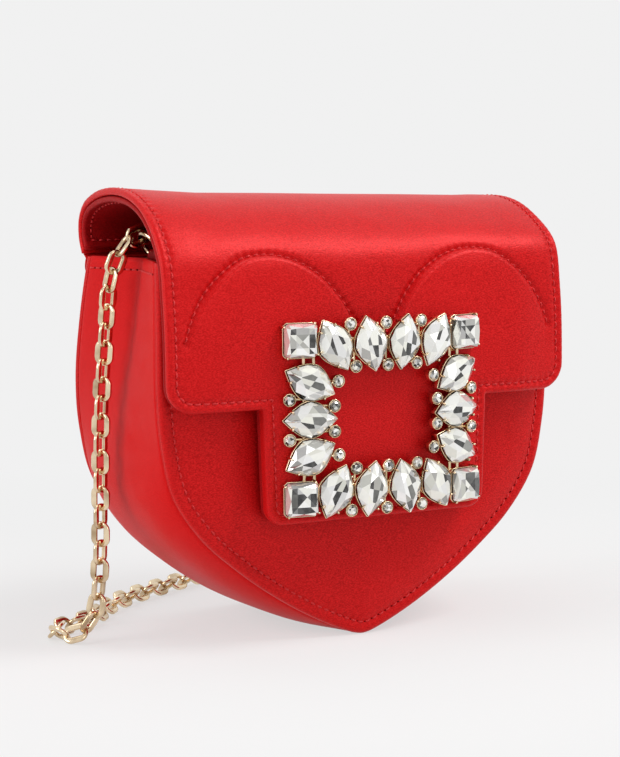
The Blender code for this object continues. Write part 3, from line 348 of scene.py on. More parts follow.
def tube(points, radii, sides, up=(0.0, 1.0, 0.0), loop=False, offset=0.0):
    """Vertices and faces of a tube along 3D points, with a radius at each point."""
    pts = [Vector(p) for p in points]
    last = len(pts) - 1
    verts = []
    for i, (point, radius) in enumerate(zip(pts, radii)):
        before = pts[i - 1] if loop else pts[max(i - 1, 0)]
        after = pts[(i + 1) % len(pts)] if loop else pts[min(i + 1, last)]
        run = (after - before).normalized()
        side = run.cross(Vector(up))
        if side.length < 1e-4:
            side = run.cross(Vector((1.0, 0.0, 0.0)))
        side.normalize()
        verts += round_ring(point, side, side.cross(run).normalized(), radius, radius, sides, offset)
    return verts, bridge(len(pts), sides, loop)


def join(parts):
    """One list of vertices and one of faces from the vertices and faces of several parts."""
    verts, faces = [], []
    for part_verts, part_faces in parts:
        base = len(verts)
        verts += part_verts
        faces += [[base + i for i in face] for face in part_faces]
    return verts, faces


def roll(gap, radius):
    """Drop of a turned edge: a quarter round within its radius of the rim."""
    t = np.clip(gap / radius, 0.0, 1.0)
    return radius * (1.0 - np.sqrt(np.maximum(1.0 - (1.0 - t) ** 2, 0.0)))


def valley(gap, along, depth, width):
    """Drawn-in line of a seam, deeper where the needle went through."""
    wave = np.cos(2.0 * math.pi * along / STITCH_PITCH)
    gather = PUCKER_DEPTH * wave * np.exp(-(gap / PUCKER_RUN) ** 2)
    return depth * np.exp(-(gap / width) ** 2) * (1.0 + STITCH_PUCKER * wave) + gather


# Node helpers for the materials
def feed(tree, node, inputs):
    """Link the inputs that come from other nodes and set the rest."""
    for key, value in inputs.items():
        if isinstance(value, bpy.types.NodeSocket):
            tree.links.new(value, node.inputs[key])
        else:
            node.inputs[key].default_value = value
    return node


def add(tree, kind, inputs, **settings):
    node = tree.nodes.new("ShaderNode" + kind)
    for key, value in settings.items():
        setattr(node, key, value)
    return feed(tree, node, inputs)


def noise(tree, scale, detail=2.0, stretch=(1.0, 1.0, 1.0)):
    coords = add(tree, "TexCoord", {})
    mapping = add(tree, "Mapping", {"Scale": stretch, "Vector": coords.outputs["Object"]})
    inputs = {"Scale": scale, "Detail": detail, "Vector": mapping.outputs["Vector"]}
    return add(tree, "TexNoise", inputs).outputs["Fac"]


def remap(tree, value, low, high, from_low=0.35, from_high=0.65):
    inputs = {"Value": value, "From Min": from_low, "From Max": from_high, "To Min": low, "To Max": high}
    return add(tree, "MapRange", inputs).outputs["Result"]


def blend_colours(tree, factor, first, second):
    return add(tree, "Mix", {"Factor": factor, 6: first, 7: second}, data_type="RGBA").outputs[2]


def bump(tree, height, distance, strength, normal=None):
    inputs = {"Height": height, "Distance": distance, "Strength": strength}
    if normal is not None:
        inputs["Normal"] = normal
    return add(tree, "Bump", inputs).outputs["Normal"]


def new_material(name):
    mat = bpy.data.materials.new(name)
    mat.use_nodes = True
    return mat, mat.node_tree, mat.node_tree.nodes["Principled BSDF"]


WEAVE = (0.50, 1.0, 1.0)


def satin_look(name, dark, mid, light, stretch=WEAVE, sheen=0.05, rough=(0.37, 0.45), gloss=0.42,
               lustre=0.10):
    """Duchesse satin: a tight weave, slow shade changes, soft folds and a shine in its own colour."""
    mat, tree, shader = new_material(name)
    weave = noise(tree, 2800.0, 1.5, stretch)
    grain = noise(tree, 4200.0, 1.0)
    tone = blend_colours(tree, remap(tree, noise(tree, 22.0), 0.0, 1.0), dark, mid)
    normal = bump(tree, noise(tree, 70.0, 1.5), 0.0010, 0.45)
    normal = bump(tree, weave, 0.00012, 0.70, normal)
    feed(tree, shader, {
        "Base Color": blend_colours(tree, remap(tree, weave, 0.0, 1.0), tone, light),
        "Roughness": remap(tree, grain, rough[0], rough[1]),
        "Metallic": lustre,
        "Normal": bump(tree, grain, 0.00005, 0.40, normal),
        "Specular IOR Level": gloss,
        "Specular Tint": (1.0, 0.30, 0.30, 1.0),
        "Sheen Weight": sheen,
        "Sheen Roughness": 0.45,
        "Sheen Tint": (1.0, 0.25, 0.25, 1.0),
    })
    return mat


def metal_look(name, light, dark, rough):
    """Plated metal: mottled with its dark colour as painted dark reflections; faint polishing marks."""
    mat, tree, shader = new_material(name)
    marks = noise(tree, 1500.0, 2.0, (1.0, 1.0, 0.15))
    share = remap(tree, noise(tree, 150.0), 0.0, 1.0, 0.30, 0.60)
    feed(tree, shader, {
        "Base Color": blend_colours(tree, share, dark, light),
        "Roughness": remap(tree, marks, rough[0], rough[1]),
        "Metallic": 1.0,
        "Normal": bump(tree, marks, 0.00002, 0.2),
    })
    return mat


def crystal_look(name):
    """Foil-backed cut glass under a clear polished surface; each facet carries a painted grey of the
    reflection seen in it.
    """
    mat, tree, shader = new_material(name)
    tone = add(tree, "VertexColor", {}, layer_name="painted_facet_reflection").outputs["Color"]
    haze = noise(tree, 520.0)
    feed(tree, shader, {
        "Base Color": blend_colours(tree, remap(tree, haze, 0.0, 0.10), tone, (0.66, 0.66, 0.64, 1.0)),
        "Roughness": remap(tree, haze, 0.02, 0.06),
        "Metallic": 0.50,
        "Coat Weight": 1.0,
        "Coat Roughness": 0.02,
    })
    return mat


SATIN = satin_look("satin", (0.42, 0.0009, 0.0016, 1.0), (0.50, 0.0016, 0.0022, 1.0),
                   (0.69, 0.0100, 0.0110, 1.0))
SIDE_SATIN = satin_look("side_satin", (0.55, 0.0040, 0.0050, 1.0), (0.62, 0.0056, 0.0065, 1.0),
                        (0.70, 0.0120, 0.0125, 1.0), WEAVE, 0.02, (0.42, 0.52), 0.16, 0.04)
# A darker copy of the satin: painted shade for the flap's inner layer in the arch; the ring tabs wear it
# too.
SHADED_SATIN = satin_look("satin_painted_shade", (0.24, 0.0018, 0.0030, 1.0), (0.31, 0.0026, 0.0038, 1.0),
                    (0.40, 0.0070, 0.0085, 1.0), WEAVE, 0.02, (0.44, 0.54), 0.2, 0.05)
LINING = satin_look("lining_cloth", (0.060, 0.0015, 0.003, 1.0), (0.095, 0.003, 0.005, 1.0),
                    (0.13, 0.006, 0.008, 1.0), (0.4, 1.0, 2.2), 0.02, (0.60, 0.75), 0.3, 0.0)
THREAD = satin_look("thread", (0.50, 0.011, 0.013, 1.0), (0.61, 0.023, 0.026, 1.0),
                    (0.74, 0.052, 0.054, 1.0), (3.0, 3.0, 3.0), 0.05, (0.30, 0.42), 0.6, 0.0)
# Near-black marks at the gaps between stitches: painted shadow.
STITCH_SHADOW = satin_look("painted_stitch_shadow", (0.07, 0.001, 0.002, 1.0), (0.10, 0.002, 0.003, 1.0),
                  (0.14, 0.003, 0.004, 1.0), (1.0, 1.0, 1.0), 0.0, (0.8, 0.95), 0.1, 0.0)
# Each metal's second colour is a painted dark reflection, mottled in by metal_look.
GOLD = metal_look("pale_gold", (0.84, 0.68, 0.47, 1.0), (0.46, 0.33, 0.20, 1.0), (0.10, 0.22))
STEEL = metal_look("magnet_steel", (0.66, 0.64, 0.61, 1.0), (0.52, 0.50, 0.47, 1.0), (0.22, 0.36))
CRYSTAL = crystal_look("crystal")


def make_camera():
    yaw, pitch, tilt = (math.radians(a) for a in (CAMERA_YAW, CAMERA_PITCH, CAMERA_ROLL))
    ahead = Vector((math.sin(yaw) * math.cos(pitch), math.cos(yaw) * math.cos(pitch), -math.sin(pitch)))
    right = Vector((math.cos(yaw), -math.sin(yaw), 0.0))
    side = right * math.cos(tilt) + right.cross(ahead) * math.sin(tilt)
    turn = Matrix((side, side.cross(ahead), -ahead)).transposed().to_4x4()
    data = bpy.data.cameras.new("view")
    data.sensor_width = SENSOR_MM
    data.lens = FOCAL_PIXELS / IMAGE_LONG_SIDE * SENSOR_MM
    data.clip_start = 0.05
    data.clip_end = 50.0
    camera = link_object("view", data)
    camera.matrix_world = Matrix.Translation(Vector(CAMERA_TARGET) - ahead * CAMERA_DISTANCE) @ turn
    bpy.context.scene.camera = camera


make_camera()

# Outline of the bag, one half from the tip to the mouth, and the gusset's swell along it
half_outline = resample(spline([(x * BODY_HALF_WIDTH, z * MOUTH_HEIGHT) for x, z in OUTLINE_SHARES]),
                        OUTLINE_STEPS + 1)
half_normals = normals_of(half_outline)
half_normals[0] = (0.0, -1.0)
half_normals[-1] = (1.0, 0.0)
half_shares = np.linspace(0.0, 1.0, OUTLINE_STEPS + 1)
swell_line = spline(GUSSET_SWELL_SHARES, per=12)


def gusset_offset(share, across):
    """Outward offset of the gusset's outer face at a share of the way up and across."""
    amount = np.interp(share, swell_line[:, 0], swell_line[:, 1]) * GUSSET_SWELL
    if amount >= 0.0:
        return amount * (1.0 - abs(across) ** GUSSET_FULLNESS)
    return amount * (1.0 - abs(across)) ** GUSSET_FOLD_POWER


# Rings at both ends of the mouth and the tabs that hold them
RING_HALF_WIDTH = 0.0062
RING_HEIGHT = 0.0095
RING_WIRE = 0.0017
RING_SIDES = 12
RING_LEAN = math.radians(35.0)
RING_BAR_SHARE = 0.92
RING_SHOULDER_SHARE = 0.38
RING_RISE = 0.0006
TAB_WIDTH = 0.0080
TAB_CLOTH = 0.0011
TAB_LENGTH = 0.0130
TAB_ROWS = 12
TAB_GRIP = RING_WIRE * 0.5 + GAP
TAB_SEAM = 0.00012
TAB_SEAM_SHARES = (0.72, 0.08)
LINING_OUT = GUSSET_THICKNESS + GAP
LINING_INSET = LINING_OUT + LINING_THICKNESS

ring_x = BODY_HALF_WIDTH + float(gusset_offset(1.0, 0.0)) - LINING_INSET - GAP - TAB_CLOTH - TAB_GRIP
ring_z = MOUTH_HEIGHT + RING_RISE

# Chain sizes, and its route in metres before the bag is centred
LINK_LENGTH = 0.0091
LINK_WIDTH = 0.0067
LINK_WIRE = 0.0015
LINK_PITCH = 0.00622
LINK_STRETCH = 0.011
LINK_TILT = 45.0
LINK_TWIST = 12.0
LINK_CORNER = 0.0021
LINK_CORNER_STEPS = 5
LINK_SIDE_FULLNESS = 0.60
WIRE_SIDES = 12
WIRE_SQUARENESS = 0.80
END_LINKS = 6
END_HOOK = LINK_LENGTH * 0.5 - LINK_WIRE - RING_WIRE * 0.5 - GAP
PITCH_TRIALS = 61
WALK_WINDOW = 400
ROUTE_STEPS = 120
LOW = 0.0032
HANG_LEFT = ((-0.0760, 0.0, 0.1400), (-0.0795, 0.0010, 0.1335), (-0.0815, 0.0030, 0.1250),
             (-0.0822, 0.0040, 0.1150), (-0.0830, 0.0048, 0.1030), (-0.0838, 0.0055, 0.0900),
             (-0.0845, 0.0058, 0.0750), (-0.0848, 0.0060, 0.0600), (-0.0850, 0.0062, 0.0450),
             (-0.0852, 0.0065, 0.0320), (-0.0857, 0.0070, 0.0210), (-0.0866, 0.0076, 0.0130))
HEAP = ((-0.0884, 0.0082, 0.0078), (-0.0915, 0.0090, 0.0044), (-0.0950, 0.0108, LOW),
        (-0.0976, 0.0152, LOW), (-0.0963, 0.0206, LOW), (-0.0915, 0.0250, LOW), (-0.0842, 0.0288, LOW))
RUN = ((-0.0770, 0.0335, LOW), (-0.0705, 0.0405, LOW), (-0.0640, 0.0485, LOW), (-0.0548, 0.0570, LOW),
       (-0.0436, 0.0648, LOW), (-0.0330, 0.0711, LOW), (-0.0232, 0.0766, LOW), (-0.0130, 0.0822, LOW),
       (-0.0040, 0.0878, LOW), (0.0035, 0.0930, LOW))
RISE_RIGHT = ((0.0575, 0.0592, LOW), (0.0645, 0.0560, 0.0045), (0.0700, 0.0525, 0.0130),
              (0.0752, 0.0490, 0.0300), (0.0795, 0.0458, 0.0520), (0.0830, 0.0426, 0.0760),
              (0.0855, 0.0390, 0.0980), (0.0868, 0.0340, 0.1160), (0.0865, 0.0270, 0.1290),
              (0.0835, 0.0180, 0.1368), (0.0790, 0.0080, 0.1402), (0.0760, 0.0010, 0.1404))
HANK_PASSES = 5
HANK_PITCH = 0.0092
HANK_LEFT = 0.0110
HANK_RIGHT = 0.0500
HANK_BACK = 0.0965


def hank():
    """Parallel passes joined by half turns, laid from the back towards the bag."""
    points = []
    radius = HANK_PITCH * 0.5
    for k in range(HANK_PASSES):
        y = HANK_BACK - k * HANK_PITCH
        way = -1.0 if k % 2 else 1.0
        start, stop = (HANK_RIGHT, HANK_LEFT) if k % 2 else (HANK_LEFT, HANK_RIGHT)
        points += [(start + (stop - start) * t, y, LOW) for t in np.linspace(0.0, 1.0, 6)]
        if k < HANK_PASSES - 1:
            points += [(stop + way * radius * math.sin(a), y - radius + radius * math.cos(a), LOW)
                       for a in np.radians((45.0, 90.0, 135.0))]
    return tuple(points)


def hook(sign, first):
    """Centre of the link that hangs in the left (-1) or right (+1) ring, on the way to a point."""
    top = Vector((sign * (ring_x + RING_HEIGHT * math.sin(RING_LEAN)), 0.0,
                  ring_z + RING_HEIGHT * math.cos(RING_LEAN)))
    return tuple(top + (Vector(first) - top).normalized() * END_HOOK)


route = (hook(-1.0, HANG_LEFT[0]),) + HANG_LEFT + HEAP + RUN + hank() + RISE_RIGHT
route += (hook(1.0, RISE_RIGHT[-1]),)
chain_line = spline(route, per=ROUTE_STEPS)
chain_line[:, 2] = np.maximum(chain_line[:, 2], LOW)
chain_run = lengths(chain_line)


def walk(pitch):
    """Links set along the route by straight steps, and the length that is left over."""
    spots = [0]
    while True:
        start = spots[-1]
        gap = np.linalg.norm(chain_line[start:start + WALK_WINDOW] - chain_line[start], axis=1)
        probe = int(np.argmax(gap >= pitch))
        if probe == 0:
            return spots, float(chain_run[-1] - chain_run[start])
        spots.append(start + probe)


def link_frames(spots):
    """Each link's run and side direction, eased level where the chain lies on the floor."""
    frames = []
    across = Vector((0.0, 1.0, 0.0))
    for spot in spots:
        low, high = (int(np.searchsorted(chain_run, chain_run[spot] + half * LINK_PITCH))
                     for half in (-0.5, 0.5))
        run = Vector(chain_line[min(high, len(chain_line) - 1)] - chain_line[low]).normalized()
        across = (across - run * across.dot(run)).normalized()
        level = run.cross(Vector((0.0, 0.0, 1.0)))
        if level.length > 0.5:
            level.normalize()
            if level.dot(across) < 0.0:
                level = -level
            apart = across.angle(level)
            if apart > 1e-4:
                ease = min(1.0, math.radians(LINK_TWIST) / apart)
                across = across.lerp(level, ease).normalized()
        frames.append((run, across.copy()))
    return frames


def link_ring():
    """Centre line of a link: a long loop with round corners, and its outward directions."""
    half = (LINK_LENGTH - LINK_WIRE) * 0.5 - LINK_CORNER
    side = (LINK_WIDTH - LINK_WIRE) * 0.5 - LINK_CORNER
    ring = []
    for quarter, (sx, sy) in enumerate(((1, 1), (-1, 1), (-1, -1), (1, -1))):
        for a in np.radians(np.linspace(90.0 * quarter, 90.0 * quarter + 90.0, LINK_CORNER_STEPS)):
            out = (math.cos(a), math.sin(a))
            ring.append((sx * half + LINK_CORNER * out[0], sy * side + LINK_CORNER * out[1], out))
    return ring


def wire_section():
    """Cut wire: a round-cornered square."""
    turns = 2.0 * math.pi * (np.arange(WIRE_SIDES) + 0.5) / WIRE_SIDES
    corners = np.stack([np.cos(turns), np.sin(turns)], axis=1)
    return (np.sign(corners) * np.abs(corners) ** WIRE_SQUARENESS * LINK_WIRE * 0.5).tolist()


def build_chain():
    trials = [walk(LINK_PITCH * k) for k in np.linspace(1.0, 1.0 + LINK_STRETCH, PITCH_TRIALS)]
    spots = min(trials, key=lambda trial: trial[1])[0]
    ring, section = link_ring(), wire_section()
    last = len(spots) - 1
    last_sign = 1.0 if last % 2 else -1.0
    links = []
    for k, (spot, (run, across)) in enumerate(zip(spots, link_frames(spots))):
        tilt = LINK_TILT if k % 2 else -LINK_TILT
        tilt -= LINK_TILT * max(0.0, 1.0 - k / END_LINKS)
        tilt += last_sign * LINK_TILT * max(0.0, 1.0 - (last - k) / END_LINKS)
        c, s = math.cos(math.radians(tilt)), math.sin(math.radians(tilt))
        up = across.cross(run).normalized()
        wide = across * c + up * s
        flat = up * c - across * s
        centre = Vector(chain_line[spot]) + Vector((0.0, SHIFT, 0.0))
        verts = []
        for px, py, out in ring:
            fuller = 1.0 + LINK_SIDE_FULLNESS * out[1] * out[1]
            verts += [centre + run * (px + out[0] * d) + wide * (py + out[1] * d * fuller) + flat * h
                      for d, h in section]
        links.append((verts, bridge(len(ring), WIRE_SIDES, True)))
    chain = new_object("chain", *join(links), GOLD)
    place_piece(chain, "body", "pale_gold", "chain_left_hang", "chain_floor_heap", "chain_floor_run",
                "chain_floor_hank", "chain_right_rise")


build_chain()

# Flap: its profile, as in the frame, and its flat outline in (x, run along the profile)
profile = spline([(y * (HINGE_DEPTH if y > 0.0 else FLAP_FACE), z * MOUTH_HEIGHT)
                  for y, z in FLAP_PROFILE_SHARES], per=PROFILE_STEPS)
profile_run = lengths(profile)
profile_normal = normals_of(profile)
front_side = profile[:, 0] < 0.0


def run_at_height(z):
    return float(np.interp(z, profile[front_side, 1][::-1], profile_run[front_side][::-1]))


FLAP_LENGTH = float(profile_run[-1])
STEP_RUN = run_at_height(FLAP_STEP_HEIGHT_SHARE * MOUTH_HEIGHT)
INSET_STEPS = (0.0, 0.00012, 0.00045, 0.0010, 0.0017, 0.0023, 0.0028, 0.0033, 0.0038, 0.0044, 0.0052)
FACING_STEPS = (0.0003, 0.0005, 0.0009, 0.0014, 0.0024, 0.0029, 0.0033, 0.0037, 0.0043)
FLAP_SPACING = 0.0015
FLAP_STEP = 0.0009
FACING_SPACING = 0.0030
FACING_STEP = 0.0018
GROOVE_MARGIN = 0.0045
LOBE_STEPS = (-0.0026, -0.0017, -0.0010, -0.0005, 0.0005, 0.0010, 0.0016, 0.0022, 0.0030)


def slump(x, z):
    """How far the soft arch sinks between its stiffer left end and the right."""
    return np.interp(x, SLUMP_AT, SLUMP_DROP) * smooth((z - MOUTH_HEIGHT) / SLUMP_RISE)


def on_flap(points, height):
    """Points of the flap in space: (x, run) on the outer profile, moved outwards by height."""
    x, run = points[:, 0], points[:, 1]
    y, z = (np.interp(run, profile_run, profile[:, k]) for k in (0, 1))
    ny, nz = (np.interp(run, profile_run, profile_normal[:, k]) for k in (0, 1))
    size = np.hypot(ny, nz)
    return np.stack([x, y + ny / size * height + SHIFT, z - slump(x, z) + nz / size * height], axis=1)


def flap_edge(inset):
    """Closed flap outline in (x, run), drawn in by inset."""
    wide, tongue = FLAP_HALF_WIDTH - inset, TONGUE_HALF_WIDTH - inset
    step, end = STEP_RUN - inset, FLAP_LENGTH - inset
    outer = max(FLAP_STEP_RADIUS - inset, GAP)
    corner = max(TONGUE_CORNER_RADIUS - inset, GAP)
    side = [(wide, inset)] + corner_arc((wide - outer, step - outer), outer) + [(tongue, step)]
    side += corner_arc((tongue - TONGUE_TAPER - corner, end - corner), corner)
    return closed(np.array(side + [(-x, s) for x, s in reversed(side)]))


lobe_half = spline([(x * FLAP_HALF_WIDTH, run_at_height(z * MOUTH_HEIGHT)) for x, z in LOBE_SHARES], per=8)
lobe_half = lobe_half[lobe_half[:, 0] < LOBE_END]
lobe_groove = np.vstack([lobe_half[:0:-1] * np.array([-1.0, 1.0]), lobe_half])


def lobe_offset(distance):
    """The lobe line moved into the heart (+) or out of it (-), as two half lines."""
    away = abs(distance)
    moved = lobe_half - normals_of(lobe_half) * distance
    moved = moved[(moved[:, 0] > away * 1.2 + 0.0004) & (moved[:, 0] < FLAP_HALF_WIDTH - LOBE_MARGIN)]
    moved = moved[near(moved, lobe_groove)[0] > away * 0.93]
    moved = resample(moved, max(2, int(lengths(moved)[-1] / LOBE_SPACING)))
    return [moved * np.array([way, 1.0]) for way in (1.0, -1.0) if len(moved) > 3]


def lobe_lines():
    whole = resample(lobe_groove, int(lengths(lobe_groove)[-1] / LOBE_SPACING))
    whole = whole[np.abs(whole[:, 0]) < FLAP_HALF_WIDTH - LOBE_MARGIN]
    return [whole] + [line for step in LOBE_STEPS for line in lobe_offset(step)]


def flap_relief(points):
    """Height of the flap's satin over the outer profile."""
    gap, _ = near(points, flap_edge(0.0))
    seam_gap, seam_along = near(points, flap_edge(STITCH_INSET))
    groove_gap, groove_along = near(points, lobe_groove)
    side = np.abs(points[:, 0])
    in_heart = points[:, 1] > np.interp(side, lobe_half[:, 0], lobe_half[:, 1])
    fade = smooth((FLAP_HALF_WIDTH - STITCH_INSET - side) / LOBE_FADE)
    height = np.where(in_heart, FLAP_PAD * smooth(groove_gap / FLAP_PAD_ROLL), 0.0) * fade
    height -= roll(gap, FLAP_ROLL)
    height += PUFF * 0.5 * smooth((gap - STITCH_INSET) / PUFF_REACH) * smooth(groove_gap / PUFF_REACH)
    height -= valley(seam_gap, seam_along, STITCH_VALLEY, STITCH_VALLEY_WIDTH)
    return height - valley(groove_gap, groove_along, LOBE_VALLEY, LOBE_VALLEY_WIDTH)


def skin_inside(points):
    return -FLAP_SKIN + roll(near(points, flap_edge(0.0))[0], FACING_ROLL)


def facing_outside(points):
    return -(FLAP_SKIN + GAP) - roll(near(points, flap_edge(GAP))[0], FACING_ROLL)


def facing_inside(points):
    gap, _ = near(points, flap_edge(GAP))
    seam_gap, seam_along = near(points, flap_edge(STITCH_INSET))
    seam = valley(seam_gap, seam_along, FACING_VALLEY, FACING_VALLEY_WIDTH)
    return -FLAP_THICKNESS + roll(gap, FACING_ROLL) + seam


def flap_piece(name, node, insets, lines, spacing, step, outer_height, inner_height, look):
    loops = [densify(flap_edge(inset), step)[:-1] for inset in insets]
    points, tris = triangulate(loops, lines, spacing, spacing * 0.55)
    outer = on_flap(points, outer_height(points))
    inner = on_flap(points, inner_height(points))
    return place_piece(shell(name, outer, inner, tris, look), "flap", "satin", node)


flap_satin = flap_piece("flap_satin", "flap_shell", INSET_STEPS, lobe_lines(), FLAP_SPACING, FLAP_STEP,
                        flap_relief, skin_inside, SATIN)
# The flap's inner layer wears the darker satin copy: painted shade.
flap_piece("flap_facing", "flap_lining", FACING_STEPS, [], FACING_SPACING, FACING_STEP,
           facing_outside, facing_inside, SHADED_SATIN)


def stitch_row(line, place):
    """A thread and a dark mark of painted shadow for each stitch along a line, as two lists of parts."""
    total = lengths(line)
    count = int(total[-1] / STITCH_PITCH)
    pitch = total[-1] / count
    looped = np.allclose(line[0], line[-1])

    def at(run, height):
        run = run % total[-1] if looped else min(max(run, 0.0), total[-1])
        point = np.array([[np.interp(run, total, line[:, k]) for k in (0, 1)]])
        return Vector(place(point, height)[0])

    def axes(run, height):
        """A place on the row, with the row's direction there, its side and its upward direction."""
        centre = at(run, height)
        up = (at(run, height + 0.001) - centre).normalized()
        ahead = (at(run + 0.0003, height) - at(run - 0.0003, height)).normalized()
        return centre, ahead, ahead.cross(up).normalized(), up

    threads, shadow_marks = [], []
    for k in range(count):
        verts = []
        for t in THREAD_PLACES:
            sink = STITCH_RADIUS * (0.75 - 1.9 * t ** 4)
            centre, _, side, up = axes((k + 0.5) * pitch + t * STITCH_LENGTH * 0.5, sink)
            size = STITCH_RADIUS * (1.0 if abs(t) < 0.9 else 0.55)
            verts += round_ring(centre, side, up, size * 1.15, size, THREAD_SIDES)
        threads.append((verts, bridge(len(THREAD_PLACES), THREAD_SIDES)))
        # A dark lens at each gap between stitches: painted shadow.
        spot, ahead, side, up = axes(k * pitch, 0.00003)
        verts = round_ring(spot, ahead, side, SHADOW_MARK_RADIUS * 1.3, SHADOW_MARK_RADIUS, SHADOW_MARK_SIDES)
        verts += [spot + up * SHADOW_MARK_RADIUS * share for share in SHADOW_MARK_POLES]
        shadow_marks.append((verts, fan(0, SHADOW_MARK_SIDES, SHADOW_MARK_SIDES) + fan(0, SHADOW_MARK_SIDES, SHADOW_MARK_SIDES + 1)))
    return threads, shadow_marks


def stitches(name, rows, body):
    """One piece of thread for a sewn group, with its painted stitch shadows in a darker second material."""
    threads, shadow_marks = [], []
    for line, place in rows:
        row_threads, row_shadow_marks = stitch_row(line, place)
        threads += row_threads
        shadow_marks += row_shadow_marks
    sewn = new_object(name, *join(threads + shadow_marks), THREAD)
    sewn.data.materials.append(STITCH_SHADOW)
    for polygon in sewn.data.polygons[sum(len(faces) for _, faces in threads):]:
        polygon.material_index = 1
    place_piece(sewn, body, "satin")


def flap_surface(point, height):
    return on_flap(point, flap_relief(point) + height)


def facing_surface(point, height):
    return on_flap(point, facing_inside(point) - height)


seam_line = densify(flap_edge(STITCH_INSET), SEAM_STEP)
groove_line = lobe_groove[np.abs(lobe_groove[:, 0]) < FLAP_HALF_WIDTH - GROOVE_MARGIN]
stitches("flap_stitches", [(seam_line, flap_surface), (groove_line, flap_surface)], "flap")
stitches("facing_stitches", [(seam_line, facing_surface)], "flap")

# Front and back panels
PANEL_INSETS = (0.0, 0.00012, 0.00045, 0.0010, 0.0018, 0.0027, 0.0033, 0.0038, 0.0043, 0.0048, 0.0054,
                0.0063)
PANEL_POINTS = 330
PANEL_STEP = 0.0013
PANEL_SPACING = 0.0019
PANEL_CLEAR = 0.0011
PANEL_BACK_DRAW = 0.00025
WELT_RADIUS = 0.00062


def outline(inset, top):
    """Whole U outline, left mouth to right mouth, drawn in by inset and cut at height top."""
    half = half_outline - half_normals * inset
    half[:, 0] = np.maximum(half[:, 0], 0.0)
    half[0, 0] = 0.0
    half[-1, 1] = top
    half[:, 1] = np.minimum(half[:, 1], top)
    return np.vstack([half[:0:-1] * np.array([-1.0, 1.0]), half])


def panel_loop(inset):
    return outline(inset, MOUTH_HEIGHT - GAP - inset)


def even_loop(inset):
    """The same outline with even points, closed along its straight top edge."""
    return closed(resample(panel_loop(inset), PANEL_POINTS))


def panel_height(points, crown):
    """Height of a panel's face over its flat plane."""
    gap, _ = near(points, closed(panel_loop(0.0)))
    seam_gap, seam_along = near(points, closed(panel_loop(PANEL_STITCH_INSET)))
    height = crown * smooth(gap / CROWN_REACH) - roll(gap, PANEL_ROLL)
    puff_end = smooth((PUFF_END[0] - gap) / PUFF_END[1])
    height += PUFF * smooth((gap - PANEL_STITCH_INSET) / PUFF_REACH) * puff_end
    return height - valley(seam_gap, seam_along, STITCH_VALLEY, STITCH_VALLEY_WIDTH)


def on_panel(points, side, height):
    y = side * (BODY_HALF_DEPTH + height) + SHIFT
    if side > 0.0:
        y = y + back_reach(points[:, 1])
    return np.stack([points[:, 0], y, points[:, 1]], axis=1)


def panel_piece(name, node, side, crown):
    loops = [densify(even_loop(inset), PANEL_STEP)[:-1] for inset in PANEL_INSETS]
    points, tris = triangulate(loops, [], PANEL_SPACING, PANEL_CLEAR)
    outer = on_panel(points, side, panel_height(points, crown))
    gap, _ = near(points, closed(panel_loop(0.0)))
    inner = on_panel(points, side, -PANEL_THICKNESS + PANEL_BACK_DRAW + roll(gap, PANEL_BACK_ROLL))
    piece = place_piece(shell(name, outer, inner, tris, SATIN), "body", "satin", node)

    def surface(point, height):
        return on_panel(point, side, panel_height(point, crown) + height)

    seam = densify(even_loop(PANEL_STITCH_INSET), SEAM_STEP)
    stitches(name + "_stitches", [(seam, surface)], "body")


def welt(name, node, side):
    """Turned seam between a panel's back edge and the gusset."""
    line = outline(WELT_RADIUS, MOUTH_HEIGHT - GAP)
    y = side * (GUSSET_HALF + WELT_RADIUS * 0.75) + SHIFT
    reach = back_reach(line[:, 1]) if side > 0.0 else np.zeros(len(line))
    points = [(x, y + r, z) for (x, z), r in zip(line, reach)]
    skin = new_object(name, *tube(points, [WELT_RADIUS] * len(points), 10), SATIN)
    place_piece(skin, "body", "satin", node)


panel_piece("front_panel_satin", "front_panel", -1.0, PANEL_CROWN)
panel_piece("back_panel_satin", "back_panel", 1.0, BACK_CROWN)
welt("front_welt_satin", "front_seam_welt", -1.0)
welt("back_welt_satin", "back_seam_welt", 1.0)


# Gusset and lining
def strip(inset, half, top, rows, edge_roll=0.0):
    """Points across the U strip, drawn in by inset, half its width each side."""
    columns = [(-1.0, k) for k in range(OUTLINE_STEPS, 0, -1)]
    columns += [(1.0, k) for k in range(OUTLINE_STEPS + 1)]
    grid = []
    for sign, k in columns:
        share, p, n = half_shares[k], half_outline[k], half_normals[k]
        for r in range(rows + 1):
            across = math.sin(math.pi * (-0.5 + r / rows))
            off = gusset_offset(share, across) - inset
            if edge_roll:
                off -= float(roll((1.0 - abs(across)) * half, edge_roll))
            x = 0.0 if share == 0.0 else sign * (p[0] + n[0] * off)
            z = min(top if share == 1.0 else p[1] + n[1] * off, top)
            y = across * half + float(back_reach(z)) * (1.0 + across) * 0.5
            grid.append((x, y + SHIFT, z))
    return grid


def strip_faces(columns, rows):
    """Quads of a grid of points, rows + 1 points to a column."""
    starts = [c * (rows + 1) + r for c in range(columns - 1) for r in range(rows)]
    return [[a, a + 1, a + rows + 2, a + rows + 1] for a in starts]


STRIP_COLUMNS = 2 * OUTLINE_STEPS + 1
gusset_outer = strip(0.0, GUSSET_HALF, MOUTH_HEIGHT, GUSSET_ROWS, GUSSET_ROLL)
gusset_inner = strip(GUSSET_THICKNESS, GUSSET_HALF, MOUTH_HEIGHT, GUSSET_ROWS)
gusset_faces = strip_faces(STRIP_COLUMNS, GUSSET_ROWS)
gusset = shell("gusset_satin", gusset_outer, gusset_inner, gusset_faces, SIDE_SATIN)
place_piece(gusset, "body", "satin", "gusset")


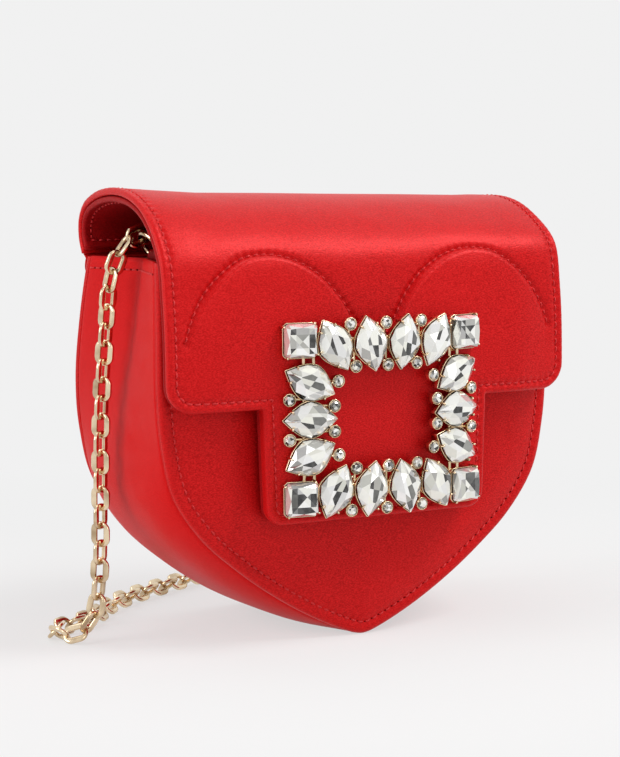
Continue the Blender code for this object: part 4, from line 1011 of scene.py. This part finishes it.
def hem_row(sign):
    """Needle line under the gusset's top edge on one side of the bag, and how its points are placed."""
    z = MOUTH_HEIGHT - HEM_DROP
    edge = float(np.interp(z, half_outline[:, 1], half_outline[:, 0]))
    share = np.interp(z, half_outline[:, 1], half_shares)

    def on_gusset(across, height):
        y = across * GUSSET_HALF + float(back_reach(z)) * (1.0 + across) * 0.5
        return sign * (edge + gusset_offset(share, across) + height), y + SHIFT, z

    spread = np.linspace(-0.97, 0.97, 60)
    run = lengths(np.array([on_gusset(across, 0.0) for across in spread]))

    def place(point, height):
        return [on_gusset(float(np.interp(point[0][0], run, spread)), height)]

    return np.array([(0.0, z), (run[-1], z)]), place


stitches("gusset_stitches", [hem_row(-1.0), hem_row(1.0)], "body")

LINING_ROWS = 16
LINING_GRID = 0.006
LINING_CLEAR = 0.004
LINING_TOP = MOUTH_HEIGHT - LINING_DROP


def bag_skin(inset, half, grid):
    """Points and faces of an open bag: the strip and its two flat sides."""
    points = strip(inset, half, LINING_TOP, LINING_ROWS)
    faces = strip_faces(STRIP_COLUMNS, LINING_ROWS)
    edges = [(i, (i + 1) % STRIP_COLUMNS) for i in range(STRIP_COLUMNS)]
    for side, r in ((-1.0, 0), (1.0, LINING_ROWS)):
        rim = [c * (LINING_ROWS + 1) + r for c in range(STRIP_COLUMNS)]
        flat = [Vector((points[i][0], points[i][2])) for i in rim] + [Vector(p) for p in grid]
        out, _, tris, sources, _, _ = delaunay_2d_cdt(flat, edges, [], 1, 1e-9)
        index = []
        for v, origins in zip(out, sources):
            if origins and min(origins) < STRIP_COLUMNS:
                index.append(rim[min(origins)])
                continue
            index.append(len(points))
            reach = float(back_reach(v.y)) if side > 0.0 else 0.0
            points.append((v.x, side * half + SHIFT + reach, v.y))
        faces += [[index[i] for i in t][::1 if side < 0.0 else -1] for t in tris]
    return points, faces


def lining_piece():
    seat = closed(outline(LINING_INSET + LINING_CLEAR, LINING_TOP - LINING_CLEAR))
    grid = np.array([(x, z) for z in np.arange(0.0, MOUTH_HEIGHT, LINING_GRID)
                     for x in np.arange(-BODY_HALF_WIDTH, BODY_HALF_WIDTH, LINING_GRID)])
    grid = grid[inside(grid, seat)]
    outer, faces = bag_skin(LINING_OUT, GUSSET_HALF, grid)
    inner, _ = bag_skin(LINING_INSET, GUSSET_HALF - LINING_THICKNESS, grid)
    piece = shell("lining_bag", outer, inner, faces, LINING)
    place_piece(piece, "body", "lining_cloth", "lining")


def ring_path():
    """Centre line of a ring: a straight bar and the arch over it, as (y, height)."""
    bar = RING_HALF_WIDTH * RING_BAR_SHARE
    points = [(y, 0.0) for y in np.linspace(-bar, bar, 9)]
    for a in np.linspace(0.0, math.pi, 29):
        share = RING_SHOULDER_SHARE + (1.0 - RING_SHOULDER_SHARE) * math.sin(a)
        points.append((RING_HALF_WIDTH * math.cos(a), RING_HEIGHT * share))
    return points


def ring_and_tab(side_name, sign):
    lean = Vector((sign * math.sin(RING_LEAN), 0.0, math.cos(RING_LEAN)))
    foot = Vector((sign * ring_x, SHIFT, ring_z))
    loop = [foot + lean * up + Vector((0.0, y, 0.0)) for y, up in ring_path()]
    flat = (loop[1] - loop[0]).cross(loop[len(loop) // 2] - loop[0]).normalized()
    wire = tube(loop, [RING_WIRE * 0.5] * len(loop), RING_SIDES, flat, True, 0.5)
    place_piece(new_object(side_name + "_ring_wire", *wire, GOLD), "body", "pale_gold", side_name + "_ring")
    mid = TAB_GRIP + TAB_CLOTH * 0.5
    path = [(mid, ring_z - TAB_LENGTH + TAB_LENGTH * k / 8) for k in range(8)]
    path += [(mid * math.cos(a), ring_z + mid * math.sin(a)) for a in np.radians(np.linspace(0, 180, 21))]
    path += [(-mid, ring_z - TAB_LENGTH * k / 8) for k in range(1, 9)]
    skins = ([], [])
    for p, n in zip(path, normals_of(np.array(path))):
        for share in np.linspace(-1.0, 1.0, TAB_ROWS + 1):
            thin = TAB_CLOTH * 0.5 * math.sqrt(max(1.0 - abs(share) ** 6, 0.04))
            thin -= TAB_SEAM * math.exp(-((abs(share) - TAB_SEAM_SHARES[0]) / TAB_SEAM_SHARES[1]) ** 2)
            for skin, way in zip(skins, (thin, -thin)):
                skin.append((sign * (ring_x + p[0] + n[0] * way), share * TAB_WIDTH * 0.5 + SHIFT,
                             p[1] + n[1] * way))
    # The tab wears the darker satin copy: painted shade.
    tab = shell(side_name + "_tab_satin", *skins, strip_faces(len(path), TAB_ROWS), SHADED_SATIN)
    place_piece(tab, "body", "satin", side_name + "_tab")


lining_piece()
ring_and_tab("left", -1.0)
ring_and_tab("right", 1.0)

# Magnets: turned discs with a soft rim and a shallow dish on both sides
MAGNET_RADIUS = 0.0080
MAGNET_SIDES = 72
MAGNET_Z = 0.440 * MOUTH_HEIGHT
BODY_MAGNET_THICKNESS = 0.0009
DISH_SHARES = ((0.45, 0.75), (0.52, 1.0))


def disc(name, node, body, front, back):
    half = (back - front) * 0.5
    rim = half * 0.8
    dish = [(MAGNET_RADIUS * r, half * y) for r, y in DISH_SHARES]
    section = [(r, -y) for r, y in dish]
    section += [(MAGNET_RADIUS - rim + rim * math.sin(a), -rim * math.cos(a))
                for a in np.linspace(0.0, math.pi, 9)]
    section += dish[::-1]
    across, up = Vector((1.0, 0.0, 0.0)), Vector((0.0, 0.0, 1.0))
    centres = [Vector((0.0, (back + front) * 0.5 + SHIFT + y, MAGNET_Z)) for _, y in section]
    verts = []
    for centre, (r, _) in zip(centres, section):
        verts += round_ring(centre, across, up, r, r, MAGNET_SIDES)
    ring_points = len(verts)
    verts += [centres[0], centres[-1]]
    faces = bridge(len(section), MAGNET_SIDES)[:-2]
    faces += fan(0, MAGNET_SIDES, ring_points)
    faces += fan(ring_points - MAGNET_SIDES, MAGNET_SIDES, ring_points + 1)
    place_piece(new_object(name, verts, faces, STEEL), body, "magnet_steel", node)


panel_face = -(BODY_HALF_DEPTH + PANEL_CROWN)
magnet_front = panel_face - GAP - BODY_MAGNET_THICKNESS
disc("body_magnet_disc", "body_magnet", "body", magnet_front, panel_face - GAP)
disc("flap_magnet_disc", "flap_magnet", "flap", -FLAP_FACE + FLAP_THICKNESS + GAP, magnet_front - GAP)

# Buckle sizes, as the frame has them; u runs across the buckle and v up
BUCKLE_Z = 0.5950 * MOUTH_HEIGHT
BUCKLE_BOW_RADIUS = 0.170
BUCKLE_PLATE = 0.0015
FRAME_PAD = 0.0014
BUCKLE_BACK = -(FLAP_FACE + FRAME_PAD + GAP)
STONE_HEIGHT = 0.0040
GIRDLE_SHARE = 0.35
CORNER_STONE = 0.0115
CORNER_CUT_SHARE = 0.09
LEMON_HALF_LENGTH = 0.0091
LEMON_HALF_WIDTH = 0.0056
LEMON_SEEN = (0.0062, 0.0095)
LEMON_END_POWER = 1.75
LEMON_SIDE_POWER = 1.08
ROUND_HEIGHT = 0.0022
ROUND_SEEN = 0.00188
ROW_PITCH = 2.0 * LEMON_HALF_WIDTH + 0.0021
COLUMN_PITCH = 2.0 * LEMON_HALF_WIDTH + 0.0015
CORNER_U = 1.5 * ROW_PITCH + CORNER_STONE * 0.5 + LEMON_HALF_LENGTH * 0.75
CORNER_V = COLUMN_PITCH + CORNER_STONE * 0.5 + LEMON_HALF_LENGTH * 0.940
ROW_V = CORNER_V - 0.0020
COLUMN_U = CORNER_U - 0.0035
BOW_DROP = BUCKLE_BOW_RADIUS - math.sqrt(BUCKLE_BOW_RADIUS ** 2 - (CORNER_U + CORNER_STONE * 0.5) ** 2)
TOP_TILTS = (28.0, 11.0, -10.0, -24.0)
BOTTOM_TILTS = (-23.0, -10.5, 12.0, 26.0)
LEFT_TILTS = (-26.0, 0.0, 26.0)
RIGHT_TILTS = (29.0, 4.0, -26.0)
# Round stones: their shares of the pitch, and how far out of the row or column they stand
ROW_ROUND_SHARES = (((-1.073, -0.051, 1.022), 0.766), ((-0.927, 0.0, 0.876), -0.830))
COLUMN_ROUND_SHARES = (((1.0, 0.3435, -0.3435, -0.985), -0.957, 0.0015), ((0.550, -0.527), 0.798, 0.0))


def bowed(u, v, height):
    """Point over the buckle's bowed back."""
    reach = BUCKLE_BOW_RADIUS + height
    y = BUCKLE_BACK - BOW_DROP + BUCKLE_BOW_RADIUS - reach * math.cos(u / BUCKLE_BOW_RADIUS)
    return Vector((reach * math.sin(u / BUCKLE_BOW_RADIUS), y + SHIFT, BUCKLE_Z + v))


def lemon_at(turn):
    """Point of the pointed stone's outline; turn runs once round from its upper point."""
    a = 2.0 * math.pi * turn
    v = math.cos(a)
    w = (1.0 - min(abs(v), 1.0) ** LEMON_END_POWER) ** LEMON_SIDE_POWER
    return math.copysign(w, -math.sin(a)) * LEMON_SEEN[0], v * LEMON_SEEN[1]


def square_at(turn):
    """Point of the corner stone's outline: a square with slightly cut corners."""
    half, cut = CORNER_STONE * 0.5, CORNER_STONE * 0.5 * (1.0 - 2.0 * CORNER_CUT_SHARE)
    marks = ((half, cut), (cut, half), (-cut, half), (-half, cut), (-half, -cut), (-cut, -half),
             (cut, -half), (half, -cut), (half, cut))
    place = (turn % 1.0) * 8.0
    k = min(int(place), 7)
    return tuple(a + (b - a) * (place - k) for a, b in zip(marks[k], marks[k + 1]))


def round_at(turn):
    a = 2.0 * math.pi * turn
    return ROUND_SEEN * math.cos(a), ROUND_SEEN * math.sin(a)


stones = [("corner_stone_%d" % (k + 1), square_at, (u * CORNER_U, v * CORNER_V), 0.0)
          for k, (u, v) in enumerate(((-1, 1), (1, 1), (1, -1), (-1, -1)))]
for k, tilts in enumerate(zip(TOP_TILTS, BOTTOM_TILTS)):
    for side, v, tilt in zip(("top", "bottom"), (ROW_V, -ROW_V), tilts):
        stones.append(("%s_stone_%d" % (side, k + 1), lemon_at, ((k - 1.5) * ROW_PITCH, v), tilt))
for k, tilts in enumerate(zip(LEFT_TILTS, RIGHT_TILTS)):
    for side, way, tilt in zip(("left", "right"), (-1.0, 1.0), tilts):
        stones.append(("%s_stone_%d" % (side, k + 1), lemon_at, (way * COLUMN_U, (1 - k) * COLUMN_PITCH),
                       tilt - way * 90.0))
# Each round stone: where it sits, and the point of the row or column that its bar comes from
rounds = []
for shares, reach in ROW_ROUND_SHARES:
    for u in (share * ROW_PITCH for share in shares):
        v = ROW_V + LEMON_HALF_LENGTH * reach
        rounds += [((u, way * v), (u, way * ROW_V)) for way in (1.0, -1.0)]
for shares, reach, bend in COLUMN_ROUND_SHARES:
    for share in shares:
        u = COLUMN_U + LEMON_HALF_LENGTH * reach - (bend if abs(share) > 0.5 else 0.0)
        v = share * COLUMN_PITCH
        rounds += [((way * u, v), (way * COLUMN_U, v)) for way in (-1.0, 1.0)]

# Painted facet reflections: the greys, and the shares of dark, middle and pale facets; the other facets are
# bright
DARK_REFLECTIONS = (0.045, 0.08, 0.14)
MID_REFLECTIONS = (0.34, 0.46, 0.60)
PALE_REFLECTIONS = (0.70, 0.78, 0.86)
BRIGHT_REFLECTIONS = (0.92, 0.97, 1.0)
LARGE_CROWN = (0.01, 0.05, 0.22)
ROUND_CROWN = (0.13, 0.20, 0.22)
TABLE = (0.20, 0.22, 0.22)
LEMON_TABLE_DARK = (0.44, 0.28, 0.0)
LEMON_TABLE_LIGHT = (0.0, 0.06, 0.20)
SQUARE_CUTS = ((45.0, 0.0), (135.0, 0.0), (0.0, 0.0023), (0.0, -0.0023), (90.0, 0.0023), (90.0, -0.0023))
ROUND_CUTS = ((20.0, 0.0), (110.0, 0.0))


def paint(face, layer, draw, shares):
    """Give a facet one grey of painted reflection, with a faint warm tint of painted gold reflection, drawn
    by the shares of dark, middle and pale facets.
    """
    dark, mid, pale = shares
    pick = draw.random()
    tones = BRIGHT_REFLECTIONS
    for share, darker in ((dark + mid + pale, PALE_REFLECTIONS), (dark + mid, MID_REFLECTIONS), (dark, DARK_REFLECTIONS)):
        if pick < share:
            tones = darker
    value = draw.choice(tones)
    gold_reflection_warmth = 1.0 - 0.05 * draw.random()
    for loop in face.loops:
        loop[layer] = (value, value * (0.98 + 0.02 * gold_reflection_warmth), value * gold_reflection_warmth, 1.0)


def facet_place(face):
    """Key that gives the cut facets the same order in each run."""
    middle = face.calc_center_median()
    return round(middle.x, 6), round(middle.y, 6)


def brilliant(outline_at, height, girdle, base, table_share, draw, cuts, crown, count=8):
    """Cut stone in its own plane: table, star, kite and girdle facets over a foiled back, each painted with
    a grey of reflection.
    """
    bm = bmesh.new()
    layer = bm.loops.layers.color.new("painted_facet_reflection")

    def ring(total, offset, share, z):
        spots = [outline_at((k + offset) / total) for k in range(total)]
        return [bm.verts.new((u * share, v * share, z)) for u, v in spots]

    table = ring(count, 0.5, table_share, height)
    middle = ring(count, 0.0, (1.0 + table_share) * 0.5 + 0.04, girdle + (height - girdle) * 0.60)
    rim = ring(2 * count, 0.0, 1.0, girdle)
    under = ring(2 * count, 0.0, 1.0, girdle - 0.00025)
    foot = ring(2 * count, 0.0, 0.90, base)
    cells = [bm.faces.new(table)]
    facets = []
    for k in range(count):
        edge = rim[2 * k + 1]
        facets += [bm.faces.new(corners) for corners in (
            (table[k - 1], middle[k], table[k]), (table[k], middle[k], edge, middle[(k + 1) % count]),
            (middle[k], rim[2 * k], edge), (middle[k], rim[2 * k - 1], rim[2 * k]))]
    for a, b in ((rim, under), (under, foot)):
        facets += [bm.faces.new((a[k - 1], b[k - 1], b[k], a[k])) for k in list(range(1, 2 * count)) + [0]]
    facets.append(bm.faces.new(foot[::-1]))
    for face in facets:
        paint(face, layer, draw, crown)
    # Cut the table into cells, each painted with a reflection grey of its own.
    for turn, shift in cuts:
        direction = Vector((math.cos(math.radians(turn)), math.sin(math.radians(turn)), 0.0))
        before = set(bm.faces)
        geom = cells + list({e for f in cells for e in f.edges}) + list({v for f in cells for v in f.verts})
        cut = bmesh.ops.bisect_plane(bm, geom=geom, plane_co=direction * shift + Vector((0.0, 0.0, height)),
                                     plane_no=direction, dist=1e-7)
        kept = {f for f in cells if f.is_valid} | {f for f in bm.faces if f not in before}
        kept |= {g for g in cut["geom"] if isinstance(g, bmesh.types.BMFace)}
        cells = sorted((f for f in kept if f.is_valid), key=facet_place)
    for face in cells:
        spot = face.calc_center_median()
        past = [spot.x * math.cos(math.radians(turn)) + spot.y * math.sin(math.radians(turn)) > shift
                for turn, shift in cuts]
        shares = TABLE
        if outline_at is lemon_at:
            shares = LEMON_TABLE_DARK if sum(past) % 2 else LEMON_TABLE_LIGHT
        paint(face, layer, draw, shares)
    return bm


def stone_matrix(centre, tilt, height):
    """From a stone's own plane to its seat on the bowed buckle."""
    bow = Matrix.Rotation(centre[0] / BUCKLE_BOW_RADIUS, 4, "Z")
    upright = Matrix.Rotation(math.radians(90.0), 4, "X")
    turn = Matrix.Rotation(math.radians(tilt), 4, "Z")
    return Matrix.Translation(bowed(centre[0], centre[1], height)) @ bow @ upright @ turn


def set_stone(name, bm, matrix):
    """Mesh of a cut stone on its seat."""
    bmesh.ops.transform(bm, matrix=matrix, verts=bm.verts)
    bm.normal_update()
    mesh = bpy.data.meshes.new(name)
    bm.to_mesh(mesh)
    bm.free()
    mesh.materials.append(CRYSTAL)
    return mesh


def build_stones():
    draw = random.Random(7)
    for name, outline_at, centre, tilt in stones:
        cuts = [(draw.uniform(-14, 14), draw.uniform(-0.0016, -0.0008)),
                (draw.uniform(-14, 14), draw.uniform(0.0006, 0.0014)),
                (draw.uniform(76, 104), draw.uniform(-0.0006, 0.0006))]
        table_share = 0.52
        if outline_at is square_at:
            cuts = SQUARE_CUTS + ((45.0, draw.choice((-0.0016, 0.0016))),)
            table_share = 0.80
        bm = brilliant(outline_at, STONE_HEIGHT, STONE_HEIGHT * GIRDLE_SHARE, 0.0, table_share, draw, cuts,
                       LARGE_CROWN)
        mesh = set_stone("cut_" + name, bm, stone_matrix(centre, tilt, BUCKLE_PLATE + GAP))
        place_piece(link_object("cut_" + name, mesh), "flap", "crystal", name)
    whole = bmesh.new()
    whole.loops.layers.color.new("painted_facet_reflection")
    for spot, _ in rounds:
        turn = draw.uniform(0.0, 45.0)
        bm = brilliant(round_at, BUCKLE_PLATE + ROUND_HEIGHT, BUCKLE_PLATE + 0.0010, 0.0006, 0.62, draw,
                       ROUND_CUTS, ROUND_CROWN, 6)
        bead = set_stone("bead", bm, stone_matrix(spot, turn, 0.0))
        whole.from_mesh(bead)
        bpy.data.meshes.remove(bead)
    beads = link_object("round_stones", set_stone("round_stones", whole, Matrix.Identity(4)))
    place_piece(beads, "flap", "crystal")


build_stones()

# Settings: cups, claws and the bars behind them, in one gold piece
CUP_WALL = 0.00030
CUP_CLEAR = 0.00008
CUP_LEDGE = -0.0012
CLAW_RADIUS = 0.00040
SMALL_CLAW_RADIUS = 0.00024
CLAW_SIDES = 8
BAR_SIDES = 10
BAR_STEP = 0.0015
CORNER_TURNS = (0.125, 0.375, 0.625, 0.875)
LEMON_TURNS = (0.13, 0.37, 0.63, 0.87)


def outward(outline_at, turn, step):
    """Outward direction of a stone's outline, from the points a step before and after."""
    run = np.subtract(outline_at(turn + step), outline_at(turn - step))
    out = np.array((run[1], -run[0])) / np.linalg.norm(run)
    return -out if out.dot(outline_at(turn)) < 0.0 else out


def beside(outline_at, turn, out, distance, height, centre, tilt):
    """Point over the bow, at a distance outside a stone's outline."""
    u, v = np.array(outline_at(turn)) + out * distance
    c, s = math.cos(math.radians(tilt)), math.sin(math.radians(tilt))
    return bowed(centre[0] + u * c - v * s, centre[1] + u * s + v * c, height)


def cup(outline_at, centre, tilt, top, count):
    """Bezel wall round a stone, with a rounded lip, laid on the bow."""
    out_of = CUP_CLEAR + CUP_WALL
    section = [(CUP_CLEAR, top), (CUP_CLEAR + CUP_WALL * 0.5, top + 0.00010), (out_of, top - 0.00012),
               (CUP_CLEAR + CUP_WALL * 0.9, BUCKLE_PLATE * 0.6), (CUP_CLEAR + CUP_WALL * 0.55, 0.00010),
               (CUP_CLEAR, 0.0), (CUP_LEDGE, 0.00002), (CUP_LEDGE, BUCKLE_PLATE * 0.7),
               (CUP_CLEAR * 0.5, BUCKLE_PLATE)]
    verts = []
    for turn in (k / count for k in range(count)):
        out = outward(outline_at, turn, 1.0 / count)
        verts += [beside(outline_at, turn, out, d, h, centre, tilt) for d, h in section]
    return verts, bridge(count, len(section), True)


def claw(outline_at, turn, centre, tilt, girdle, crown, radius):
    """Prong that rises outside the stone and bends over its edge."""
    out = outward(outline_at, turn, 0.01)
    rise = crown - girdle
    places = ((1.1, 0.0004), (1.1, girdle * 0.6), (0.9, girdle + 0.0002), (0.3, girdle + rise * 0.32),
              (-0.7, girdle + rise * 0.45))
    path = [beside(outline_at, turn, out, radius * d, h, centre, tilt) for d, h in places]
    line = spline(path, per=3)
    radii = [radius] * (len(line) - 2) + [radius * 0.75, radius * 0.35]
    return tube(line, radii, CLAW_SIDES, (path[0] - path[-1]).cross(Vector((0.0, 0.0, 1.0))))


def bar(start, stop, radius, height):
    count = max(2, int(math.dist(start, stop) / BAR_STEP))
    spots = [np.array(start) + np.subtract(stop, start) * k / count for k in range(count + 1)]
    return tube([bowed(u, v, height) for u, v in spots], [radius] * (count + 1), BAR_SIDES)


def build_settings():
    parts = []
    girdle = BUCKLE_PLATE + GAP + STONE_HEIGHT * GIRDLE_SHARE
    crown = BUCKLE_PLATE + GAP + STONE_HEIGHT
    for _, outline_at, centre, tilt in stones:
        count, turns = (48, LEMON_TURNS) if outline_at is lemon_at else (40, CORNER_TURNS)
        parts.append(cup(outline_at, centre, tilt, girdle - 0.0007, count))
        parts += [claw(outline_at, turn, centre, tilt, girdle, crown, CLAW_RADIUS) for turn in turns]
    for spot, root in rounds:
        parts.append(cup(round_at, spot, 0.0, BUCKLE_PLATE + 0.0012, 20))
        parts += [claw(round_at, turn, spot, 0.0, BUCKLE_PLATE + 0.0009, BUCKLE_PLATE + ROUND_HEIGHT,
                       SMALL_CLAW_RADIUS) for turn in CORNER_TURNS]
        parts.append(bar(root, spot, 0.00055, BUCKLE_PLATE * 0.4))
    for way in (1.0, -1.0):
        for lift in (-0.0018, 0.0018):
            v, u = way * ROW_V + lift, way * COLUMN_U + lift
            parts.append(bar((-CORNER_U, v), (CORNER_U, v), 0.00065, BUCKLE_PLATE * 0.45))
            parts.append(bar((u, -CORNER_V), (u, CORNER_V), 0.00065, BUCKLE_PLATE * 0.45))
    place_piece(new_object("buckle_settings", *join(parts), GOLD), "flap", "pale_gold", "buckle_frame")


build_settings()

# Strip of satin at the back, sewn over the join of flap and back panel
FOLD_HALF_WIDTH = 0.0783
FOLD_HALF_THICKNESS = 0.00045
FOLD_CLEAR = 0.00075
FOLD_BELOW = 0.0060
FOLD_ABOVE = 0.0075
FOLD_START = 0.0010
FOLD_COLUMNS = 34
FOLD_ROWS = 76


def hinge_fold():
    line = []
    for z in np.linspace(MOUTH_HEIGHT - FOLD_BELOW, MOUTH_HEIGHT - FOLD_START, 10):
        bulge = BACK_CROWN * float(smooth((MOUTH_HEIGHT - z) / CROWN_REACH))
        line.append((BODY_HALF_DEPTH + bulge + float(back_reach(z)) + FOLD_CLEAR, z))
    above = profile[(profile_run > FOLD_START) & (profile_run < FOLD_ABOVE)]
    above = above + normals_of(above) * (FOLD_CLEAR - FOLD_HALF_THICKNESS)
    line = resample(np.vstack([line, above]), FOLD_COLUMNS)
    skins = ([], [])
    for k, (p, n) in enumerate(zip(line, normals_of(line))):
        end = abs(2.0 * k / (len(line) - 1) - 1.0)
        for share in np.linspace(-1.0, 1.0, FOLD_ROWS + 1):
            thin = FOLD_HALF_THICKNESS * math.sqrt(max(1.0 - max(end, abs(share)) ** 10, 0.02))
            x = share * (FOLD_HALF_WIDTH - 0.0010 * end ** 4)
            for skin, way in zip(skins, (thin, -thin)):
                skin.append((x, p[0] + n[0] * way + SHIFT, p[1] + n[1] * way))
    faces = strip_faces(len(line), FOLD_ROWS)
    fold = shell("hinge_fold", *skins, faces, SATIN)
    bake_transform(fold)


hinge_fold()

# Stage: pale floor that fades into the backdrop, plain world, soft lamps
BACKDROP = 0.879
WORLD_LIGHT = 0.34
FLOOR_HALF = 3.0
FLOOR_FADE = (0.16, 0.42)
WHITE = (1.0, 1.0, 1.0, 1.0)
LAMPS = (("key", (0.55, -0.50, 0.98), 0.46, 7.9), ("front", (-0.15, -1.15, 0.62), 0.60, 1.9),
         ("side", (-1.05, 0.05, 0.50), 0.60, 5.6), ("top", (-0.10, 0.35, 1.05), 0.60, 1.7))
LAMP_AIM = (0.0, 0.0, 0.08)


def mix_shaders(tree, share, first, second):
    return add(tree, "MixShader", {0: share, 1: first, 2: second}).outputs[0]


def either(tree, first, second):
    return add(tree, "Math", {0: first, 1: second}, operation="MAXIMUM").outputs[0]


def floor_look():
    """Plain to the light; seen directly or in a shine it fades from cloth to the backdrop."""
    mat = bpy.data.materials.new("floor")
    mat.use_nodes = True
    tree = mat.node_tree
    tree.nodes.clear()
    cloth, plain = (add(tree, "BsdfDiffuse", {"Color": (grey, grey, grey, 1.0)}).outputs[0]
                    for grey in (0.90, 0.82))
    glow = add(tree, "Emission", {"Color": WHITE, "Strength": BACKDROP}).outputs[0]
    place = add(tree, "TexCoord", {}).outputs["Object"]
    away = add(tree, "VectorMath", {0: place}, operation="LENGTH").outputs["Value"]
    seen = mix_shaders(tree, remap(tree, away, 0.66, 1.0, FLOOR_FADE[0], FLOOR_FADE[1]), cloth, glow)
    rays = add(tree, "LightPath", {}).outputs
    ray = either(tree, rays["Is Camera Ray"], rays["Is Glossy Ray"])
    add(tree, "OutputMaterial", {"Surface": mix_shaders(tree, ray, plain, seen)})
    return mat


def make_stage():
    corners = [(x * FLOOR_HALF, y * FLOOR_HALF, 0.0) for x, y in ((-1, -1), (1, -1), (1, 1), (-1, 1))]
    mesh = bpy.data.meshes.new("floor")
    mesh.from_pydata(corners, [], [(0, 1, 2, 3)])
    mesh.materials.append(floor_look())
    link_object("floor", mesh)
    world = bpy.data.worlds.new("studio")
    bpy.context.scene.world = world
    world.use_nodes = True
    tree = world.node_tree
    light = feed(tree, tree.nodes["Background"], {"Color": WHITE, "Strength": WORLD_LIGHT}).outputs[0]
    seen = add(tree, "Background", {"Color": WHITE, "Strength": BACKDROP}).outputs[0]
    rays = add(tree, "LightPath", {}).outputs
    mirrored = either(tree, rays["Is Camera Ray"], rays["Is Glossy Ray"])
    ray = either(tree, mirrored, rays["Is Transmission Ray"])
    feed(tree, tree.nodes["World Output"], {"Surface": mix_shaders(tree, ray, light, seen)})


def make_lamps():
    for name, place, size, power in LAMPS:
        data = bpy.data.lights.new(name, "AREA")
        data.shape = "SQUARE"
        data.size = size
        data.energy = power
        lamp = link_object(name, data)
        lamp.location = place
        lamp.rotation_euler = (Vector(LAMP_AIM) - Vector(place)).to_track_quat("-Z", "Y").to_euler()


make_stage()
make_lamps()
bpy.context.scene.view_settings.view_transform = "Standard"
